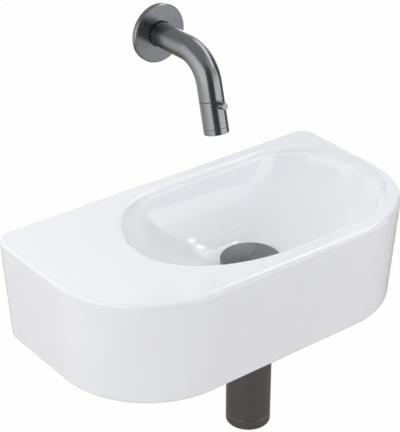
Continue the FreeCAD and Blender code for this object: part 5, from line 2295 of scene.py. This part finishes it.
    def build_plate(self, plate: Plate) -> None:
        """Lays a plate over or under the basin.

        Args:
            plate: The plate.
        """
        mesh = bmesh.new()
        lift = Matrix.Translation(Vector(self.middle) + Vector((0.0, 0.0, plate.height)))
        bmesh.ops.create_circle(
            mesh, cap_ends=True, segments=self.plate_steps, radius=plate.radius, matrix=lift
        )
        self.hang(mesh, plate.name, linear(plate.colour))

    def hang(
        self,
        mesh: BMesh,
        name: str,
        colour: tuple[float, float, float, float],
        over: float | None = None,
        bend: tuple[float, float] = (0.0, 1.0),
    ) -> None:
        """Puts a card up so that nothing but a reflection shows it.

        Args:
            mesh: The card's mesh, which is freed.
            name: The card's name.
            colour: How bright it is, in linear light.
            over: The share of that brightness that is left at its top.
            bend: The heights between which it goes over to that share.
        """
        material, tree = new_material(f"{name}_paint")
        strength: float | bpy.types.NodeSocket = 1.0
        if over is not None:
            place = add_node(tree, "ShaderNodeTexCoord").outputs["Object"]
            height = add_node(tree, "ShaderNodeSeparateXYZ", {0: place}).outputs["Z"]
            strength = add_node(
                tree,
                "ShaderNodeMapRange",
                {0: height, 1: bend[0], 2: bend[1], 3: 1.0, 4: over},
                interpolation_type="SMOOTHSTEP",
            ).outputs[0]
        close_material(tree, add_node(tree, "ShaderNodeEmission", {"Color": colour, "Strength": strength}))
        thing = self.put_stage(mesh, name, material)
        thing.visible_camera = False
        thing.visible_diffuse = False
        thing.visible_shadow = False
        thing.visible_transmission = False

    def put_stage(self, mesh: BMesh, name: str, material: bpy.types.Material) -> bpy.types.Object:
        """Puts a mesh in the scene as part of the studio.

        Args:
            mesh: The mesh, which is freed.
            name: Its name.
            material: Its finish.

        Returns:
            The object.
        """
        data = bpy.data.meshes.new(name)
        mesh.to_mesh(data)
        mesh.free()
        data.materials.append(material)
        thing = bpy.data.objects.new(name, data)
        bpy.context.scene.collection.objects.link(thing)
        return thing

    def build_lamp(self, box: SoftBox) -> None:
        """Hangs a soft box, which mirrors don't show.

        Args:
            box: The soft box.
        """
        data = bpy.data.lights.new(box.name, "AREA")
        data.shape = "SQUARE"
        data.size = box.side
        data.energy = box.power
        lamp = bpy.data.objects.new(box.name, data)
        lamp.location = box.spot
        way = Vector(self.aim) - Vector(box.spot)
        lamp.rotation_euler = way.to_track_quat("-Z", "Y").to_euler()
        lamp.visible_glossy = False
        bpy.context.scene.collection.objects.link(lamp)


def main() -> None:
    """Builds the studio and the sub-assemblies in order, and dresses them."""
    logging.basicConfig(level=logging.INFO, format="%(name)s: %(message)s")
    Studio().build()
    rack = FinishRack()
    rack.fill()
    assemblies: tuple[SubAssembly, ...] = (
        CeramicBasin(),
        WallFixing(),
        PushWaste(),
        BottleTrap(),
        WallTap(),
        TurningEnd(),
        InnerParts(),
    )
    for assembly in assemblies:
        assembly.build()
        assembly.dress(rack)


if __name__ == "__main__":
    main()
